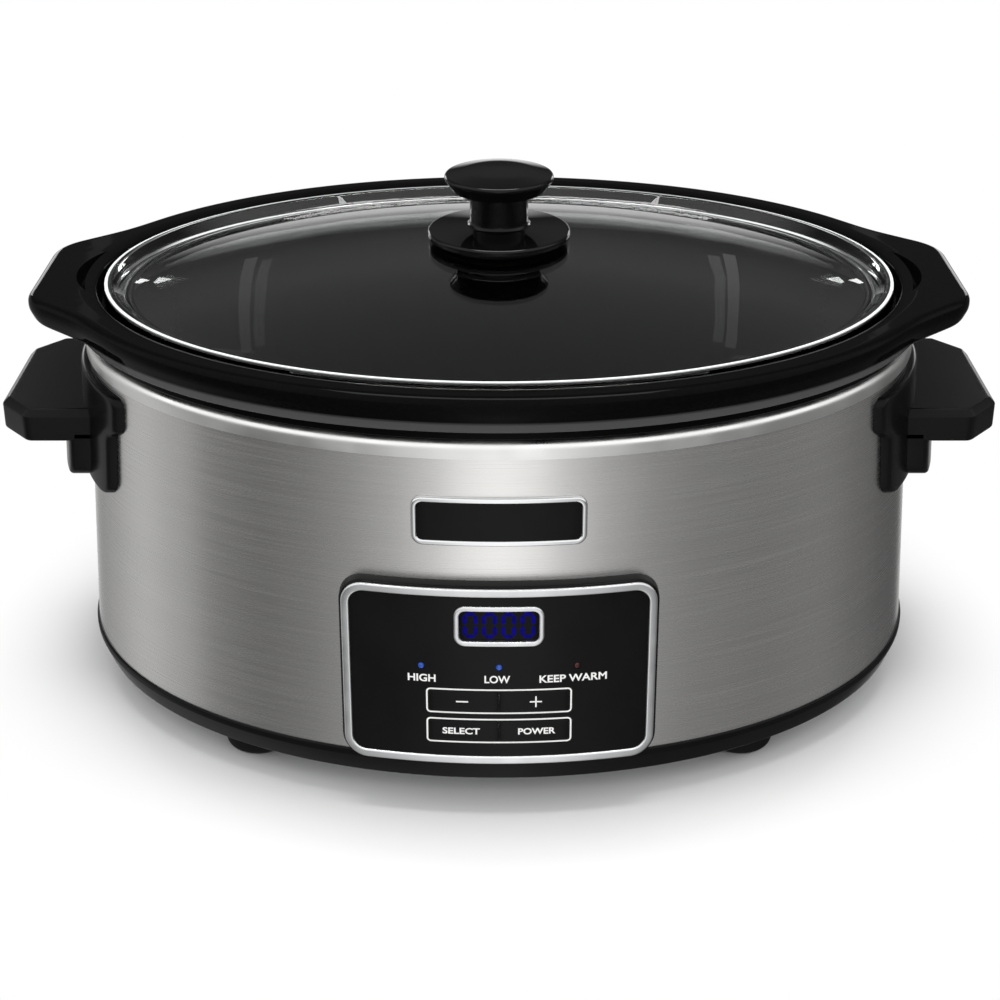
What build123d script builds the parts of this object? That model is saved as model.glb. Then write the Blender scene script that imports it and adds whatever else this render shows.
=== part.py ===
from build123d import *
import os
from math import atan, cos, degrees, radians, sin, sqrt

# Oval digital slow cooker: a steel-wrapped heating base, a stoneware crock and a domed glass lid.
# Millimetres, +Z up.  The origin is on the floor under the middle; the control panel faces -Y.

# ---------------------------------------------------------------- driving sizes
# Every oval is A wide and A - OVAL_STEP deep.  The crock's rim is the widest one of the body.
CROCK_HALF = 168.8         # half-width over the crock's rim
RIM_OVERHANG = 0.8         # the rim stands out past the band's lower edge
BAND_HALF = CROCK_HALF - RIM_OVERHANG
OVAL_STEP = 40.3           # half-width minus half-depth
BAND_DRAFT = 6.8           # how much the half-width shrinks up to the band's top
BAND_HEIGHT = 117.4
BAND_SHEET = 0.8
CLEAR = 0.3                # running clearance between pieces that come apart
SEAT = 0.1                 # clearance between pieces that are fixed together

# Base
FOOT_RADIUS = 13.0
FOOT_HEIGHT = 11.4
FOOT_X = 93.0
FOOT_INSET = 15.0          # from the cover's edge in to the oval that the feet stand on
VENT_LENGTH = 40.0
VENT_WIDTH = 3.0
VENT_PITCH = 9.0
COVER_SHEET = 1.0
RING_SKIRT = 1.5           # skirt below the bottom cover
RING_HEIGHT = 10.6         # visible height of the plastic ring
RING_PROUD = 0.9           # the ring's lip stands proud of the band
RING_TUCK = 2.1            # the ring's lower edge draws in
RING_WALL = 2.6
RING_FLANGE = 12.0         # width of the flange that carries the works
RING_UPSTAND = 9.0         # upstand that locates the band

# Rim bead over the band and the well
BEAD_RADIUS = 3.3
BEAD_SHEET = 0.8
BEAD_PROUD = 1.3
BEAD_LEG = 3.2

# Heating well and what wraps it
WELL_SHEET = 0.8
WELL_DRAFT = 8.6           # how much the half-width shrinks down to the floor
WELL_FLOOR = 29.5          # height of the well's underside
WELL_CORNER = 12.0
HEATER_BOTTOM = 47.0
HEATER_WIDTH = 38.0
HEATER_THICK = 2.6
HEATER_CLIP_GAP = 8.0      # between the heater band's ends
CLIP_WIRE = 0.8
SHIELD_SHEET = 0.5
SHIELD_HEIGHT = 100.0
SHIELD_INSET = 9.2         # from the band's lower edge

# Crock
CROCK_RIM_HEIGHT = 14.2
CROCK_LIFT = 4.4           # gap between the bead and the rim's outer lip
CROCK_WALL = 8.0
CROCK_GAP = 3.4            # between the bead's inner leg and the crock's wall
CROCK_DRAFT = 9.0
CROCK_FLOOR_GAP = 4.0      # between the crock's foot and the well's floor
CROCK_FLOOR = 9.0
CROCK_CORNER = 20.0
RIM_WIDTH = 12.7           # from the rim's outer edge to the lid's recess
RIM_CROWN = 2.6            # rounding of the rim's top
RIM_TUCK = 3.6             # the rim's lower lip draws in
SEAT_WIDTH = 5.0
LEDGE_DEPTH = 8.8
LEDGE_LIP = 0.4            # the ledge ends this far inside the wall's inner face
LUG_REACH = 11.0           # the lugs stand out past the rim
LUG_TIP = 31.0             # half-width of a lug's outer edge
LUG_ROOT = 54.0            # half-width where it leaves the rim
LUG_THICK = 9.0
LUG_CORNER = 16.0
LUG_GROOVE_INSET = 8.0     # from the rim's outer edge in to the crescent groove
LUG_GROOVE_WIDTH = 4.2
LUG_GROOVE_HALF = 25.0
LUG_GROOVE_DEPTH = 5.0

# Lid
LID_GAP = 2.1              # between the lid's edge and the recess
LID_THICK = 4.0
LID_EDGE = 8.4             # height of the rolled edge
LID_EDGE_WIDTH = 3.4
LID_TROUGH = 9.0           # from the edge in to the trough
LID_RISE = 17.5            # trough to crown
KNOB_FLANGE = 27.7
KNOB_FLANGE_EDGE = 3.0
KNOB_FLANGE_THICK = 5.0
KNOB_NECK = 11.3
KNOB_RADIUS = 22.0
KNOB_HEIGHT = 27.6
KNOB_CAP = 9.0             # height of the cap, its shallow dome included
KNOB_CAP_EDGE = 6.0        # height of the cap's sloping side
KNOB_CAP_FOOT = 17.6       # the cap's underside is narrower than its top
KNOB_ROUND = 2.0
WASHER_THICK = 1.0
KNOB_SCREW = 2.5

# Control panel on the front of the band
PANEL_WIDTH = 114.0
PANEL_HEIGHT = 71.0
PANEL_LIFT = 0.4           # above the band's lower edge
PANEL_CORNER = 9.0
PANEL_PROUD = 5.0
PANEL_WALL = 2.4
PANEL_DEPTH = 6.0          # the panel's box reaches this far inside the band
PANEL_REACH = 40.0         # depth of a cut that surely passes through the panel's box
BEZEL_WIDTH = 3.0
BEZEL_MARGIN = 0.8
BEZEL_PROUD = 0.8
BEZEL_SINK = 0.8
DISPLAY_WIDTH = 32.0
DISPLAY_HEIGHT = 15.4
DISPLAY_UP = 20.4          # above the panel's middle
DISPLAY_CORNER = 4.0
DISPLAY_FRAME = 1.9
LAMP_UP = 4.1
LAMP_SPACING = 27.8
LAMP_RADIUS = 1.1
KEY_ROW_WIDTH = 50.4
KEY_HEIGHT = 7.8
KEY_UPPER = -9.6
KEY_LOWER = -21.6
KEY_SPLIT = 0.5
KEY_CORNER = 1.2
KEY_THICK = 3.2
KEY_TRAVEL = 0.6
BOARD_BACK = 5.2           # the board's front face lies this far behind the band's surface
BOARD_THICK = 1.6
BOARD_WIDTH = 74.0
BOARD_HEIGHT = 52.0
SWITCH_SIZE = 6.0
SWITCH_BODY = 3.0
SWITCH_CURVE = 0.6         # the panel's curve over half a key

# Badge plate, left bare
BADGE_WIDTH = 61.5
BADGE_HEIGHT = 17.9
BADGE_BOTTOM = 85.5        # above the band's lower edge
BADGE_CORNER = 4.0
BADGE_FRAME = 2.0
BADGE_PROUD = 1.6

# Side handles
GRIP_REACH = 194.0
GRIP_HALF = 39.5
GRIP_TOP = 99.5            # above the band's lower edge
GRIP_THICK = 13.0
GRIP_CHAMFER_X = 11.5
GRIP_CHAMFER_Y = 13.5
GRIP_BEVEL = 2.6
BRACKET_DROP = 29.0        # grip's top down to the bracket's foot
BRACKET_PROUD = 10.5
PAD_THICK = 3.4
PAD_HALF = 57.0
PAD_TAB_HALF = 62.0
PAD_TAB_HEIGHT = 14.0
PAD_CORNER = 7.0
SCREW_RADIUS = 2.0
HANDLE_SCREW_Y = 26.0

# Works under the well
TIE_RADIUS = 2.5
TIE_NUT = 4.6
POWER_BOARD_X = 70.0
POWER_BOARD_Y = 42.0
POWER_BOARD_AT = -62.0
STANDOFF = 5.0
RELAY = (19.0, 15.0, 7.5)
TERMINAL = (24.0, 12.0, 8.0)
SENSOR_RADIUS = 3.0
SENSOR_LENGTH = 16.0
GLAND_RADIUS = 7.0
GLAND_BORE = 3.6
GLAND_UP = 14.0            # above the band's lower edge

# ---------------------------------------------------------------- levels and ovals
cover_low = FOOT_HEIGHT
cover_top = cover_low + COVER_SHEET
ring_low = cover_low - RING_SKIRT
band_low = ring_low + RING_HEIGHT
band_top = band_low + BAND_HEIGHT
bead_top = band_top + BEAD_LEG + BEAD_RADIUS
band_draft = BAND_DRAFT / BAND_HEIGHT
draft_angle = degrees(atan(band_draft))


def band_oval(z, out=0.0):
    """Half-axes of the oval `out` beyond the band's outer face at height z."""
    half = BAND_HALF - band_draft * (z - band_low) + out
    return half, half - OVAL_STEP


bead_middle = band_oval(band_top)[0] + BEAD_PROUD - BEAD_RADIUS
well_top = band_top + BEAD_LEG
well_draft = WELL_DRAFT / (well_top - WELL_FLOOR)
well_half = bead_middle - BEAD_RADIUS + BEAD_SHEET + SEAT + WELL_SHEET + well_draft * BEAD_LEG


def well_oval(z, out=0.0):
    """Half-axes of the oval `out` beyond the well's outer face at height z."""
    half = well_half - well_draft * (well_top - z) + out
    return half, half - OVAL_STEP


rim_low = bead_top + CROCK_LIFT
rim_top = rim_low + CROCK_RIM_HEIGHT
ledge_z = rim_top - LEDGE_DEPTH
crock_low = WELL_FLOOR + WELL_SHEET + CROCK_FLOOR_GAP
lid_half = CROCK_HALF - RIM_WIDTH - LID_GAP
lid_low = ledge_z + CLEAR
crown_z = lid_low + LID_THICK + LID_RISE
oval_ratio = (lid_half - OVAL_STEP) / lid_half
panel_middle = band_low + PANEL_LIFT + PANEL_HEIGHT / 2
grip_top = band_low + GRIP_TOP
grip_low = grip_top - GRIP_THICK
bracket_low = grip_top - BRACKET_DROP


def save(name, builder):
    """Labels a finished piece and writes it as one STEP file."""
    builder.part.label = name
    export_step(builder.part, f"parts/{name}.step")


def oval_solid(oval, low, high, out, mode=Mode.ADD):
    """A solid oval drum between two heights, following a tapering oval wall."""
    with BuildSketch(Plane.XY.offset(low)) as lower:
        Ellipse(*oval(low, out))
    with BuildSketch(Plane.XY.offset(high)) as upper:
        Ellipse(*oval(high, out))
    loft([lower.sketch, upper.sketch], ruled=True, mode=mode)


def oval_plate(half, low, thick, mode=Mode.ADD):
    """A flat oval plate of the given half-width."""
    with BuildSketch(Plane.XY.offset(low)) as outline:
        Ellipse(half, half - OVAL_STEP)
    extrude(outline.sketch, amount=thick, mode=mode)


def oval_ring(half, section, mode=Mode.ADD):
    """Carries a closed section, drawn as (outward, height) points or lines, round an oval."""
    with BuildLine() as path:
        EllipticalCenterArc((0, 0), half, half - OVAL_STEP, arc_size=360)
    sweep(section, path=path.wires()[0], mode=mode)


def section_plane(half):
    """The plane that an oval ring's section is drawn on: x outward from the oval, y up."""
    return Plane(origin=(half, 0, 0), x_dir=(1, 0, 0), z_dir=(0, -1, 0))


# Panel plane: it touches the panel's face at its middle and leans with the band.
panel_plane = Plane(
    origin=(0, -band_oval(panel_middle)[1] - PANEL_PROUD, panel_middle),
    x_dir=(1, 0, 0),
    z_dir=(0, -cos(radians(draft_angle)), sin(radians(draft_angle))),
)


def panel_prism(width, height, corner, at=(0, 0), mode=Mode.ADD, reach=PANEL_REACH):
    """A rounded bar standing square through the panel, centred on `at`."""
    with BuildSketch(panel_plane) as outline:
        with Locations(at):
            RectangleRounded(width, height, corner)
    extrude(outline.sketch, amount=reach / 2, both=True, mode=mode)


# ---------------------------------------------------------------- steel band and rim
def make_outer_band():
    """Wrapped steel band, open at the front for the panel's box, at the back for the cord."""
    with BuildPart() as outer_band:
        oval_solid(band_oval, band_low, band_top + BEAD_LEG - SEAT, 0)
        oval_solid(band_oval, band_low, band_top + BEAD_LEG - SEAT, -BAND_SHEET, Mode.SUBTRACT)
        box_width = PANEL_WIDTH - 2 * PANEL_WALL
        box_height = PANEL_HEIGHT - 2 * PANEL_WALL
        panel_prism(box_width, box_height, PANEL_CORNER - PANEL_WALL, mode=Mode.SUBTRACT)
        with Locations(gland_place):
            Cylinder(GLAND_RADIUS + SEAT, 8 * BAND_SHEET, rotation=(90, 0, 0), mode=Mode.SUBTRACT)
        with Locations(*handle_screw_planes()):
            Cylinder(SCREW_RADIUS + SEAT, 8 * BAND_SHEET, mode=Mode.SUBTRACT)
    save("outer_band", outer_band)


gland_z = band_low + GLAND_UP
gland_place = Location((0, band_oval(gland_z)[1] - BAND_SHEET / 2, gland_z))
handle_screw_z = (grip_low + bracket_low) / 2 + SCREW_RADIUS


def handle_screw_planes():
    """Planes square to the band where the handle screws cross it: two at each end."""
    half, depth = band_oval(handle_screw_z, -BAND_SHEET / 2)
    reach = half * sqrt(1 - (HANDLE_SCREW_Y / depth) ** 2)
    planes = []
    for side in (-1, 1):
        for y in (-HANDLE_SCREW_Y, HANDLE_SCREW_Y):
            outward = Vector(side * reach / half ** 2, y / depth ** 2, 0).normalized()
            outward += Vector(0, 0, band_draft)
            planes.append(Plane(origin=(side * reach, y, handle_screw_z), z_dir=outward))
    return planes


def make_top_bead():
    """Rolled bead: a channel, open below, that caps the band and the well."""
    inner = BEAD_RADIUS - BEAD_SHEET
    with BuildPart() as top_bead:
        with BuildSketch(section_plane(bead_middle)) as section:
            with BuildLine():
                top = band_top + BEAD_LEG
                Line((BEAD_RADIUS, band_top), (BEAD_RADIUS, top))
                ThreePointArc((BEAD_RADIUS, top), (0, top + BEAD_RADIUS), (-BEAD_RADIUS, top))
                Line((-BEAD_RADIUS, top), (-BEAD_RADIUS, band_top))
                Line((-BEAD_RADIUS, band_top), (-inner, band_top))
                Line((-inner, band_top), (-inner, top))
                ThreePointArc((-inner, top), (0, top + inner), (inner, top))
                Line((inner, top), (inner, band_top))
                Line((inner, band_top), (BEAD_RADIUS, band_top))
            make_face()
        oval_ring(bead_middle, section.sketch)
    save("top_bead", top_bead)


# ---------------------------------------------------------------- base
def make_base_ring():
    """Moulded ring under the band: skirt, lip, locating upstand and inner flange."""
    inner = -BAND_SHEET - SEAT
    flange_low = cover_top + SEAT
    flange_top = flange_low + RING_WALL
    with BuildPart() as base_ring:
        with BuildSketch(section_plane(BAND_HALF)) as section:
            with BuildLine():
                Polyline(
                    (RING_PROUD, band_low),
                    (RING_PROUD, band_low - RING_WALL),
                    (-RING_TUCK, ring_low),
                    (-RING_TUCK - RING_WALL, ring_low),
                    (-RING_TUCK - RING_WALL, flange_low),
                    (-RING_FLANGE - RING_TUCK, flange_low),
                    (-RING_FLANGE - RING_TUCK, flange_top),
                    (inner - RING_WALL, flange_top),
                    (inner - RING_WALL, band_low + RING_UPSTAND),
                    (inner - band_draft * RING_UPSTAND, band_low + RING_UPSTAND),
                    (inner, band_low),
                    close=True,
                )
            make_face()
        oval_ring(BAND_HALF, section.sketch)
        # notch at the front for the panel's box
        panel_prism(PANEL_WIDTH, PANEL_HEIGHT, PANEL_CORNER, mode=Mode.SUBTRACT)
        with Locations(gland_place):
            Cylinder(GLAND_RADIUS + 2 * SEAT, 4 * RING_FLANGE, rotation=(90, 0, 0), mode=Mode.SUBTRACT)
        with Locations(*[(x, y, flange_low) for x, y in base_screw_spots()]):
            Cylinder(SCREW_RADIUS, 8 * RING_WALL, mode=Mode.SUBTRACT)
    save("base_ring", base_ring)


cover_half = BAND_HALF - RING_TUCK - RING_WALL - SEAT
base_screw_angles = (35, 90, 145, 215, 270, 325)


def base_screw_spots():
    """Screws that hold the bottom cover up to the ring's flange."""
    half = cover_half - RING_FLANGE / 2
    spots = []
    for angle in base_screw_angles:
        spots.append((half * cos(radians(angle)), (half - OVAL_STEP) * sin(radians(angle))))
    return spots


foot_oval = cover_half - FOOT_INSET
foot_y = (foot_oval - OVAL_STEP) * sqrt(1 - (FOOT_X / foot_oval) ** 2)
foot_spots = [(sx * FOOT_X, sy * foot_y) for sy in (-1, 1) for sx in (-1, 1)]
foot_names = ("foot_front_left", "foot_front_right", "foot_back_left", "foot_back_right")
power_board_corners = [
    (sx * (POWER_BOARD_X / 2 - STANDOFF), POWER_BOARD_AT + sy * (POWER_BOARD_Y / 2 - STANDOFF))
    for sy in (-1, 1) for sx in (-1, 1)
]


def make_bottom_cover():
    """Pressed steel bottom with vents, feet holes and the tie bolt's hole."""
    with BuildPart() as bottom_cover:
        oval_plate(cover_half, cover_low, COVER_SHEET)
        with Locations((0, 0, cover_low)):
            Cylinder(TIE_RADIUS + SEAT, 4 * COVER_SHEET, mode=Mode.SUBTRACT)
        with Locations(*[(x, y, cover_low) for x, y in foot_spots + power_board_corners + base_screw_spots()]):
            Cylinder(SCREW_RADIUS + SEAT, 4 * COVER_SHEET, mode=Mode.SUBTRACT)
        for side in (-1, 1):
            with BuildSketch(Plane.XY.offset(cover_low)) as vents:
                with Locations((side * FOOT_X, 0)):
                    with GridLocations(VENT_PITCH, 0, 5, 1):
                        SlotOverall(VENT_LENGTH, VENT_WIDTH, rotation=90)
            extrude(vents.sketch, amount=COVER_SHEET, mode=Mode.SUBTRACT)
    save("bottom_cover", bottom_cover)


def make_feet():
    """Rubber feet: domed pads with a recessed screw hole."""
    for name, (x, y) in zip(foot_names, foot_spots):
        with BuildPart() as foot:
            with Locations((x, y, FOOT_HEIGHT / 2)):
                Cylinder(FOOT_RADIUS, FOOT_HEIGHT)
            fillet(foot.edges().group_by(Axis.Z)[0], FOOT_HEIGHT / 3)
            with Locations(Location((x, y, 0), (180, 0, 0))):
                CounterBoreHole(SCREW_RADIUS + SEAT, 2 * SCREW_RADIUS + CLEAR, FOOT_HEIGHT / 2)
        save(name, foot)


def pan_screw(spots, head_z, length, up=1):
    """Round-headed screws in one node: head below head_z, shank rising from it."""
    head = SCREW_RADIUS * 1.2
    for x, y in spots:
        with Locations((x, y, head_z - up * head / 2)):
            Cylinder(2 * SCREW_RADIUS, head)
        with Locations((x, y, head_z + up * length / 2)):
            Cylinder(SCREW_RADIUS, length)


def make_base_fasteners():
    """The screws of the feet and cover, the board's standoffs, the tie bolt and its nut."""
    with BuildPart() as foot_screws:
        pan_screw(foot_spots, FOOT_HEIGHT / 2, FOOT_HEIGHT / 2 + COVER_SHEET + SCREW_RADIUS)
    save("foot_screws", foot_screws)
    with BuildPart() as cover_screws:
        pan_screw(base_screw_spots(), cover_low, COVER_SHEET + SEAT + RING_WALL)
    save("cover_screws", cover_screws)
    with BuildPart() as board_standoffs:
        with Locations(*[(x, y, cover_top + STANDOFF / 2) for x, y in power_board_corners]):
            Cylinder(2 * SCREW_RADIUS, STANDOFF)
            Cylinder(SCREW_RADIUS / 2, STANDOFF, mode=Mode.SUBTRACT)
    save("board_standoffs", board_standoffs)
    with BuildPart() as tie_bolt:
        with Locations((0, 0, (WELL_FLOOR + cover_low - TIE_NUT) / 2)):
            Cylinder(TIE_RADIUS, WELL_FLOOR - cover_low + TIE_NUT)
    save("tie_bolt", tie_bolt)
    with BuildPart() as tie_nut:
        with BuildSketch(Plane.XY.offset(cover_low)) as nut:
            RegularPolygon(TIE_NUT, 6)
            Circle(TIE_RADIUS + 0.02, mode=Mode.SUBTRACT)
        extrude(nut.sketch, amount=-TIE_NUT * 0.8)
    save("tie_nut", tie_nut)


# ---------------------------------------------------------------- heating well
def bucket_section(plane, top_z, wall, floor_low, floor_thick, draft, corner, foot):
    """Section of a bucket's wall: drafted side, round corners and a strip of floor.

    The wall's outer face starts on the plane's zero at top_z and runs in by `draft` down to
    the floor; `foot` is how far the strip of floor reaches past the corner."""
    floor_top = floor_low + floor_thick
    strip = -draft - corner - foot
    inner_x = -draft * (top_z - floor_top) / (top_z - floor_low) - wall
    with BuildSketch(plane) as section:
        with BuildLine():
            Polyline(
                (0, top_z), (-draft, floor_low), (strip, floor_low),
                (strip, floor_top), (inner_x, floor_top), (-wall, top_z), close=True)
        make_face()
        outer_corner = section.vertices().sort_by_distance((-draft, floor_low, 0))[0]
        fillet(outer_corner, corner)
        inner_corner = section.vertices().sort_by_distance((inner_x, floor_top, 0))[0]
        fillet(inner_corner, corner - wall)
    return section.sketch, strip


def make_heating_well():
    """Aluminised steel well with drafted walls and a rounded floor."""
    plane = section_plane(well_half)
    section, floor_reach = bucket_section(
        plane, well_top, WELL_SHEET, WELL_FLOOR, WELL_SHEET, WELL_DRAFT, WELL_CORNER, 4 * WELL_SHEET)
    with BuildPart() as heating_well:
        oval_ring(well_half, section)
        oval_plate(well_half + floor_reach + 2 * WELL_SHEET, WELL_FLOOR, WELL_SHEET)
    save("heating_well", heating_well)


def make_heater():
    """Wrap-round band heater, its terminal tabs, and the heat shield outside it."""
    top = HEATER_BOTTOM + HEATER_WIDTH
    with BuildPart() as heater_band:
        oval_solid(well_oval, HEATER_BOTTOM, top, SEAT + HEATER_THICK)
        oval_solid(well_oval, HEATER_BOTTOM, top, SEAT, Mode.SUBTRACT)
        # the band's ends stop short of each other at the back, drawn up by the clip
        with Locations((0, well_half, HEATER_BOTTOM + HEATER_WIDTH / 2)):
            Box(HEATER_CLIP_GAP, well_half, 2 * HEATER_WIDTH, mode=Mode.SUBTRACT)
    save("heater_band", heater_band)
    with BuildPart() as heater_clip:
        for z in (HEATER_BOTTOM + HEATER_WIDTH / 4, top - HEATER_WIDTH / 4):
            outer = well_oval(z, SEAT + HEATER_THICK)[1]
            with Locations((0, outer + CLIP_WIRE + SEAT, z)):
                Box(3 * HEATER_CLIP_GAP, 2 * (CLIP_WIRE - SEAT), 4 * CLIP_WIRE)
    save("heater_clips", heater_clip)
    flange_top = cover_top + SEAT + RING_WALL
    shield_half = BAND_HALF - SHIELD_INSET
    with BuildPart() as heat_shield:
        oval_plate(shield_half, flange_top + SEAT, SHIELD_HEIGHT)
        oval_plate(shield_half - SHIELD_SHEET, flange_top + SEAT, SHIELD_HEIGHT, Mode.SUBTRACT)
        panel_prism(PANEL_WIDTH + 4 * CLEAR, 3 * PANEL_HEIGHT, PANEL_CORNER, mode=Mode.SUBTRACT)
        with Locations(gland_place):
            Cylinder(GLAND_RADIUS + 4, 4 * SHIELD_INSET, rotation=(90, 0, 0), mode=Mode.SUBTRACT)
    save("heat_shield", heat_shield)


def make_sensors():
    """Temperature sensor and thermal fuse, each strapped under the well's floor."""
    for name, x in (("temperature_sensor", -FOOT_X / 2), ("thermal_fuse", FOOT_X / 2)):
        radius = SENSOR_RADIUS if name == "temperature_sensor" else SENSOR_RADIUS * 0.75
        with BuildPart() as sensor:
            with Locations((x, 0, WELL_FLOOR - radius - SEAT)):
                Cylinder(radius, SENSOR_LENGTH, rotation=(90, 0, 0))
            fillet(sensor.edges(), radius / 3)
        save(name, sensor)
        with BuildPart() as strap:
            with BuildSketch(Plane.XZ) as arch:
                with Locations((x, WELL_FLOOR - radius - SEAT)):
                    Circle(radius + SEAT + WELL_SHEET)
                with Locations((x, WELL_FLOOR - (radius + SEAT) / 2)):
                    Rectangle(2 * (radius + SEAT + WELL_SHEET), radius + SEAT)
                with Locations((x, WELL_FLOOR - WELL_SHEET / 2)):
                    Rectangle(8 * radius, WELL_SHEET)
                with Locations((x, WELL_FLOOR - radius - SEAT)):
                    Circle(radius + SEAT, mode=Mode.SUBTRACT)
                with Locations((x, WELL_FLOOR - (radius + SEAT) / 2)):
                    Rectangle(2 * (radius + SEAT), radius + SEAT, mode=Mode.SUBTRACT)
                with Locations((x, WELL_FLOOR + radius)):
                    Rectangle(10 * radius, 2 * radius, mode=Mode.SUBTRACT)
            extrude(arch.sketch, amount=SENSOR_LENGTH / 4, both=True)
        save("sensor_strap" if name == "temperature_sensor" else "fuse_strap", strap)


def make_power_parts():
    """Power board on standoffs under the well, with relay and terminal block."""
    low = cover_top + STANDOFF
    with BuildPart() as power_board:
        with Locations((0, POWER_BOARD_AT, low + BOARD_THICK / 2)):
            Box(POWER_BOARD_X, POWER_BOARD_Y, BOARD_THICK)
        with Locations(*[(x, y, low) for x, y in power_board_corners]):
            Cylinder(SCREW_RADIUS / 2, 4 * BOARD_THICK, mode=Mode.SUBTRACT)
    save("power_board", power_board)
    blocks = (("relay", RELAY, -POWER_BOARD_X / 4), ("terminal_block", TERMINAL, POWER_BOARD_X / 5))
    for name, (width, depth, height), x in blocks:
        with BuildPart() as block:
            with Locations((x, POWER_BOARD_AT, low + BOARD_THICK + height / 2)):
                Box(width, depth, height)
            chamfer(block.edges().group_by(Axis.Z)[-1], 0.6)
            if name == "terminal_block":
                with Locations((x, POWER_BOARD_AT, low + BOARD_THICK + height)):
                    with GridLocations(width / 3, 1, 3, 1):
                        Cylinder(depth / 5, height, mode=Mode.SUBTRACT)
        save(name, block)


def make_cord_gland():
    """Bush that the supply cord would pass through, in the back of the band."""
    outer = band_oval(gland_z)[1]
    with BuildPart() as cord_gland:
        with BuildSketch(Plane.XZ.offset(-outer - 4)) as collar:
            with Locations((0, gland_z)):
                Circle(GLAND_RADIUS + 2.5)
        extrude(collar.sketch, amount=4 - SEAT)
        with BuildSketch(Plane.XZ.offset(-outer)) as neck:
            with Locations((0, gland_z)):
                Circle(GLAND_RADIUS)
        extrude(neck.sketch, amount=BAND_SHEET + 6, both=True)
        with Locations((0, outer, gland_z)):
            Cylinder(GLAND_BORE, 40, rotation=(90, 0, 0), mode=Mode.SUBTRACT)
        oval_solid(band_oval, band_low, band_top, SEAT, Mode.SUBTRACT)
        with BuildSketch(Plane.XZ.offset(-outer)) as barrel:
            with Locations((0, gland_z)):
                Circle(GLAND_RADIUS)
                Circle(GLAND_BORE, mode=Mode.SUBTRACT)
        extrude(barrel.sketch, amount=BAND_SHEET + 4, dir=(0, -1, 0))
    save("cord_gland", cord_gland)


# ---------------------------------------------------------------- crock
def lug_outline(side, reach):
    """Plan of one lifting lug: a flat outer edge with rounded corners, flaring to the rim."""
    tip = CROCK_HALF + reach
    depth = CROCK_HALF - OVAL_STEP
    root = CROCK_HALF * sqrt(1 - (LUG_ROOT / depth) ** 2)
    recess = CROCK_HALF - RIM_WIDTH / 2
    with BuildSketch() as outline:
        with BuildLine():
            Polyline(
                (0, -LUG_ROOT), (side * root, -LUG_ROOT), (side * tip, -LUG_TIP),
                (side * tip, LUG_TIP), (side * root, LUG_ROOT), (0, LUG_ROOT), close=True)
        make_face()
        corners = outline.vertices().filter_by(lambda v: abs(v.X) > tip - 1)
        fillet(corners, LUG_CORNER)
        Ellipse(recess, recess - OVAL_STEP, mode=Mode.SUBTRACT)
    return outline.sketch


def groove_outline():
    """Plan of the crescents between the rim's roll and the lugs."""
    inner = CROCK_HALF - LUG_GROOVE_INSET
    outer = inner + LUG_GROOVE_WIDTH
    cross = inner * sqrt(1 - (LUG_GROOVE_HALF / (inner - OVAL_STEP)) ** 2)
    with BuildSketch(Plane.XY.offset(rim_top - LUG_GROOVE_DEPTH)) as outline:
        Ellipse(outer, LUG_GROOVE_HALF / sqrt(1 - (cross / outer) ** 2))
        Ellipse(inner, inner - OVAL_STEP, mode=Mode.SUBTRACT)
    return outline.sketch


def make_crock():
    """Glazed stoneware crock: rolled rim with a lid ledge, drafted wall, two lifting lugs."""
    wall_top = -(CROCK_HALF - bead_middle + BEAD_RADIUS + CROCK_GAP)
    seat_out = bead_middle - CROCK_HALF + SEAT_WIDTH / 2
    seat_in = wall_top
    seat_z = bead_top + CLEAR
    inner_top = wall_top - CROCK_WALL - LEDGE_LIP
    with BuildPart() as crock:
        plane = section_plane(CROCK_HALF)
        wall_plane = section_plane(CROCK_HALF + wall_top)
        section, floor_reach = bucket_section(
            wall_plane, ledge_z, CROCK_WALL, crock_low, CROCK_FLOOR, CROCK_DRAFT, CROCK_CORNER, CROCK_WALL)
        oval_ring(CROCK_HALF + wall_top, section)
        oval_plate(CROCK_HALF + wall_top + floor_reach + CROCK_WALL / 2, crock_low, CROCK_FLOOR)
        with BuildSketch(plane) as rim:
            with BuildLine():
                Line((-RIM_TUCK, rim_low), (0, rim_top - RIM_CROWN - 2))
                RadiusArc((0, rim_top - RIM_CROWN - 2), (-RIM_CROWN, rim_top), -RIM_CROWN * 2)
                Line((-RIM_CROWN, rim_top), (-RIM_WIDTH, rim_top - RIM_CROWN / 2))
                Line((-RIM_WIDTH, rim_top - RIM_CROWN / 2), (-RIM_WIDTH, ledge_z))
                Line((-RIM_WIDTH, ledge_z), (inner_top, ledge_z))
                Line((inner_top, ledge_z), (inner_top, ledge_z - CROCK_WALL / 2))
                Line((inner_top, ledge_z - CROCK_WALL / 2), (seat_in, seat_z))
                Line((seat_in, seat_z), (seat_out, seat_z))
                Line((seat_out, seat_z), (seat_out, rim_low))
                Line((seat_out, rim_low), (-RIM_TUCK, rim_low))
            make_face()
        oval_ring(CROCK_HALF, rim.sketch)
        for side in (-1, 1):
            outline = lug_outline(side, LUG_REACH)
            extrude(Plane.XY.offset(rim_top - RIM_CROWN / 2 - LUG_THICK) * outline, amount=LUG_THICK)
        extrude(groove_outline(), amount=LUG_GROOVE_DEPTH, mode=Mode.SUBTRACT)
    save("crock", crock)


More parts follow.
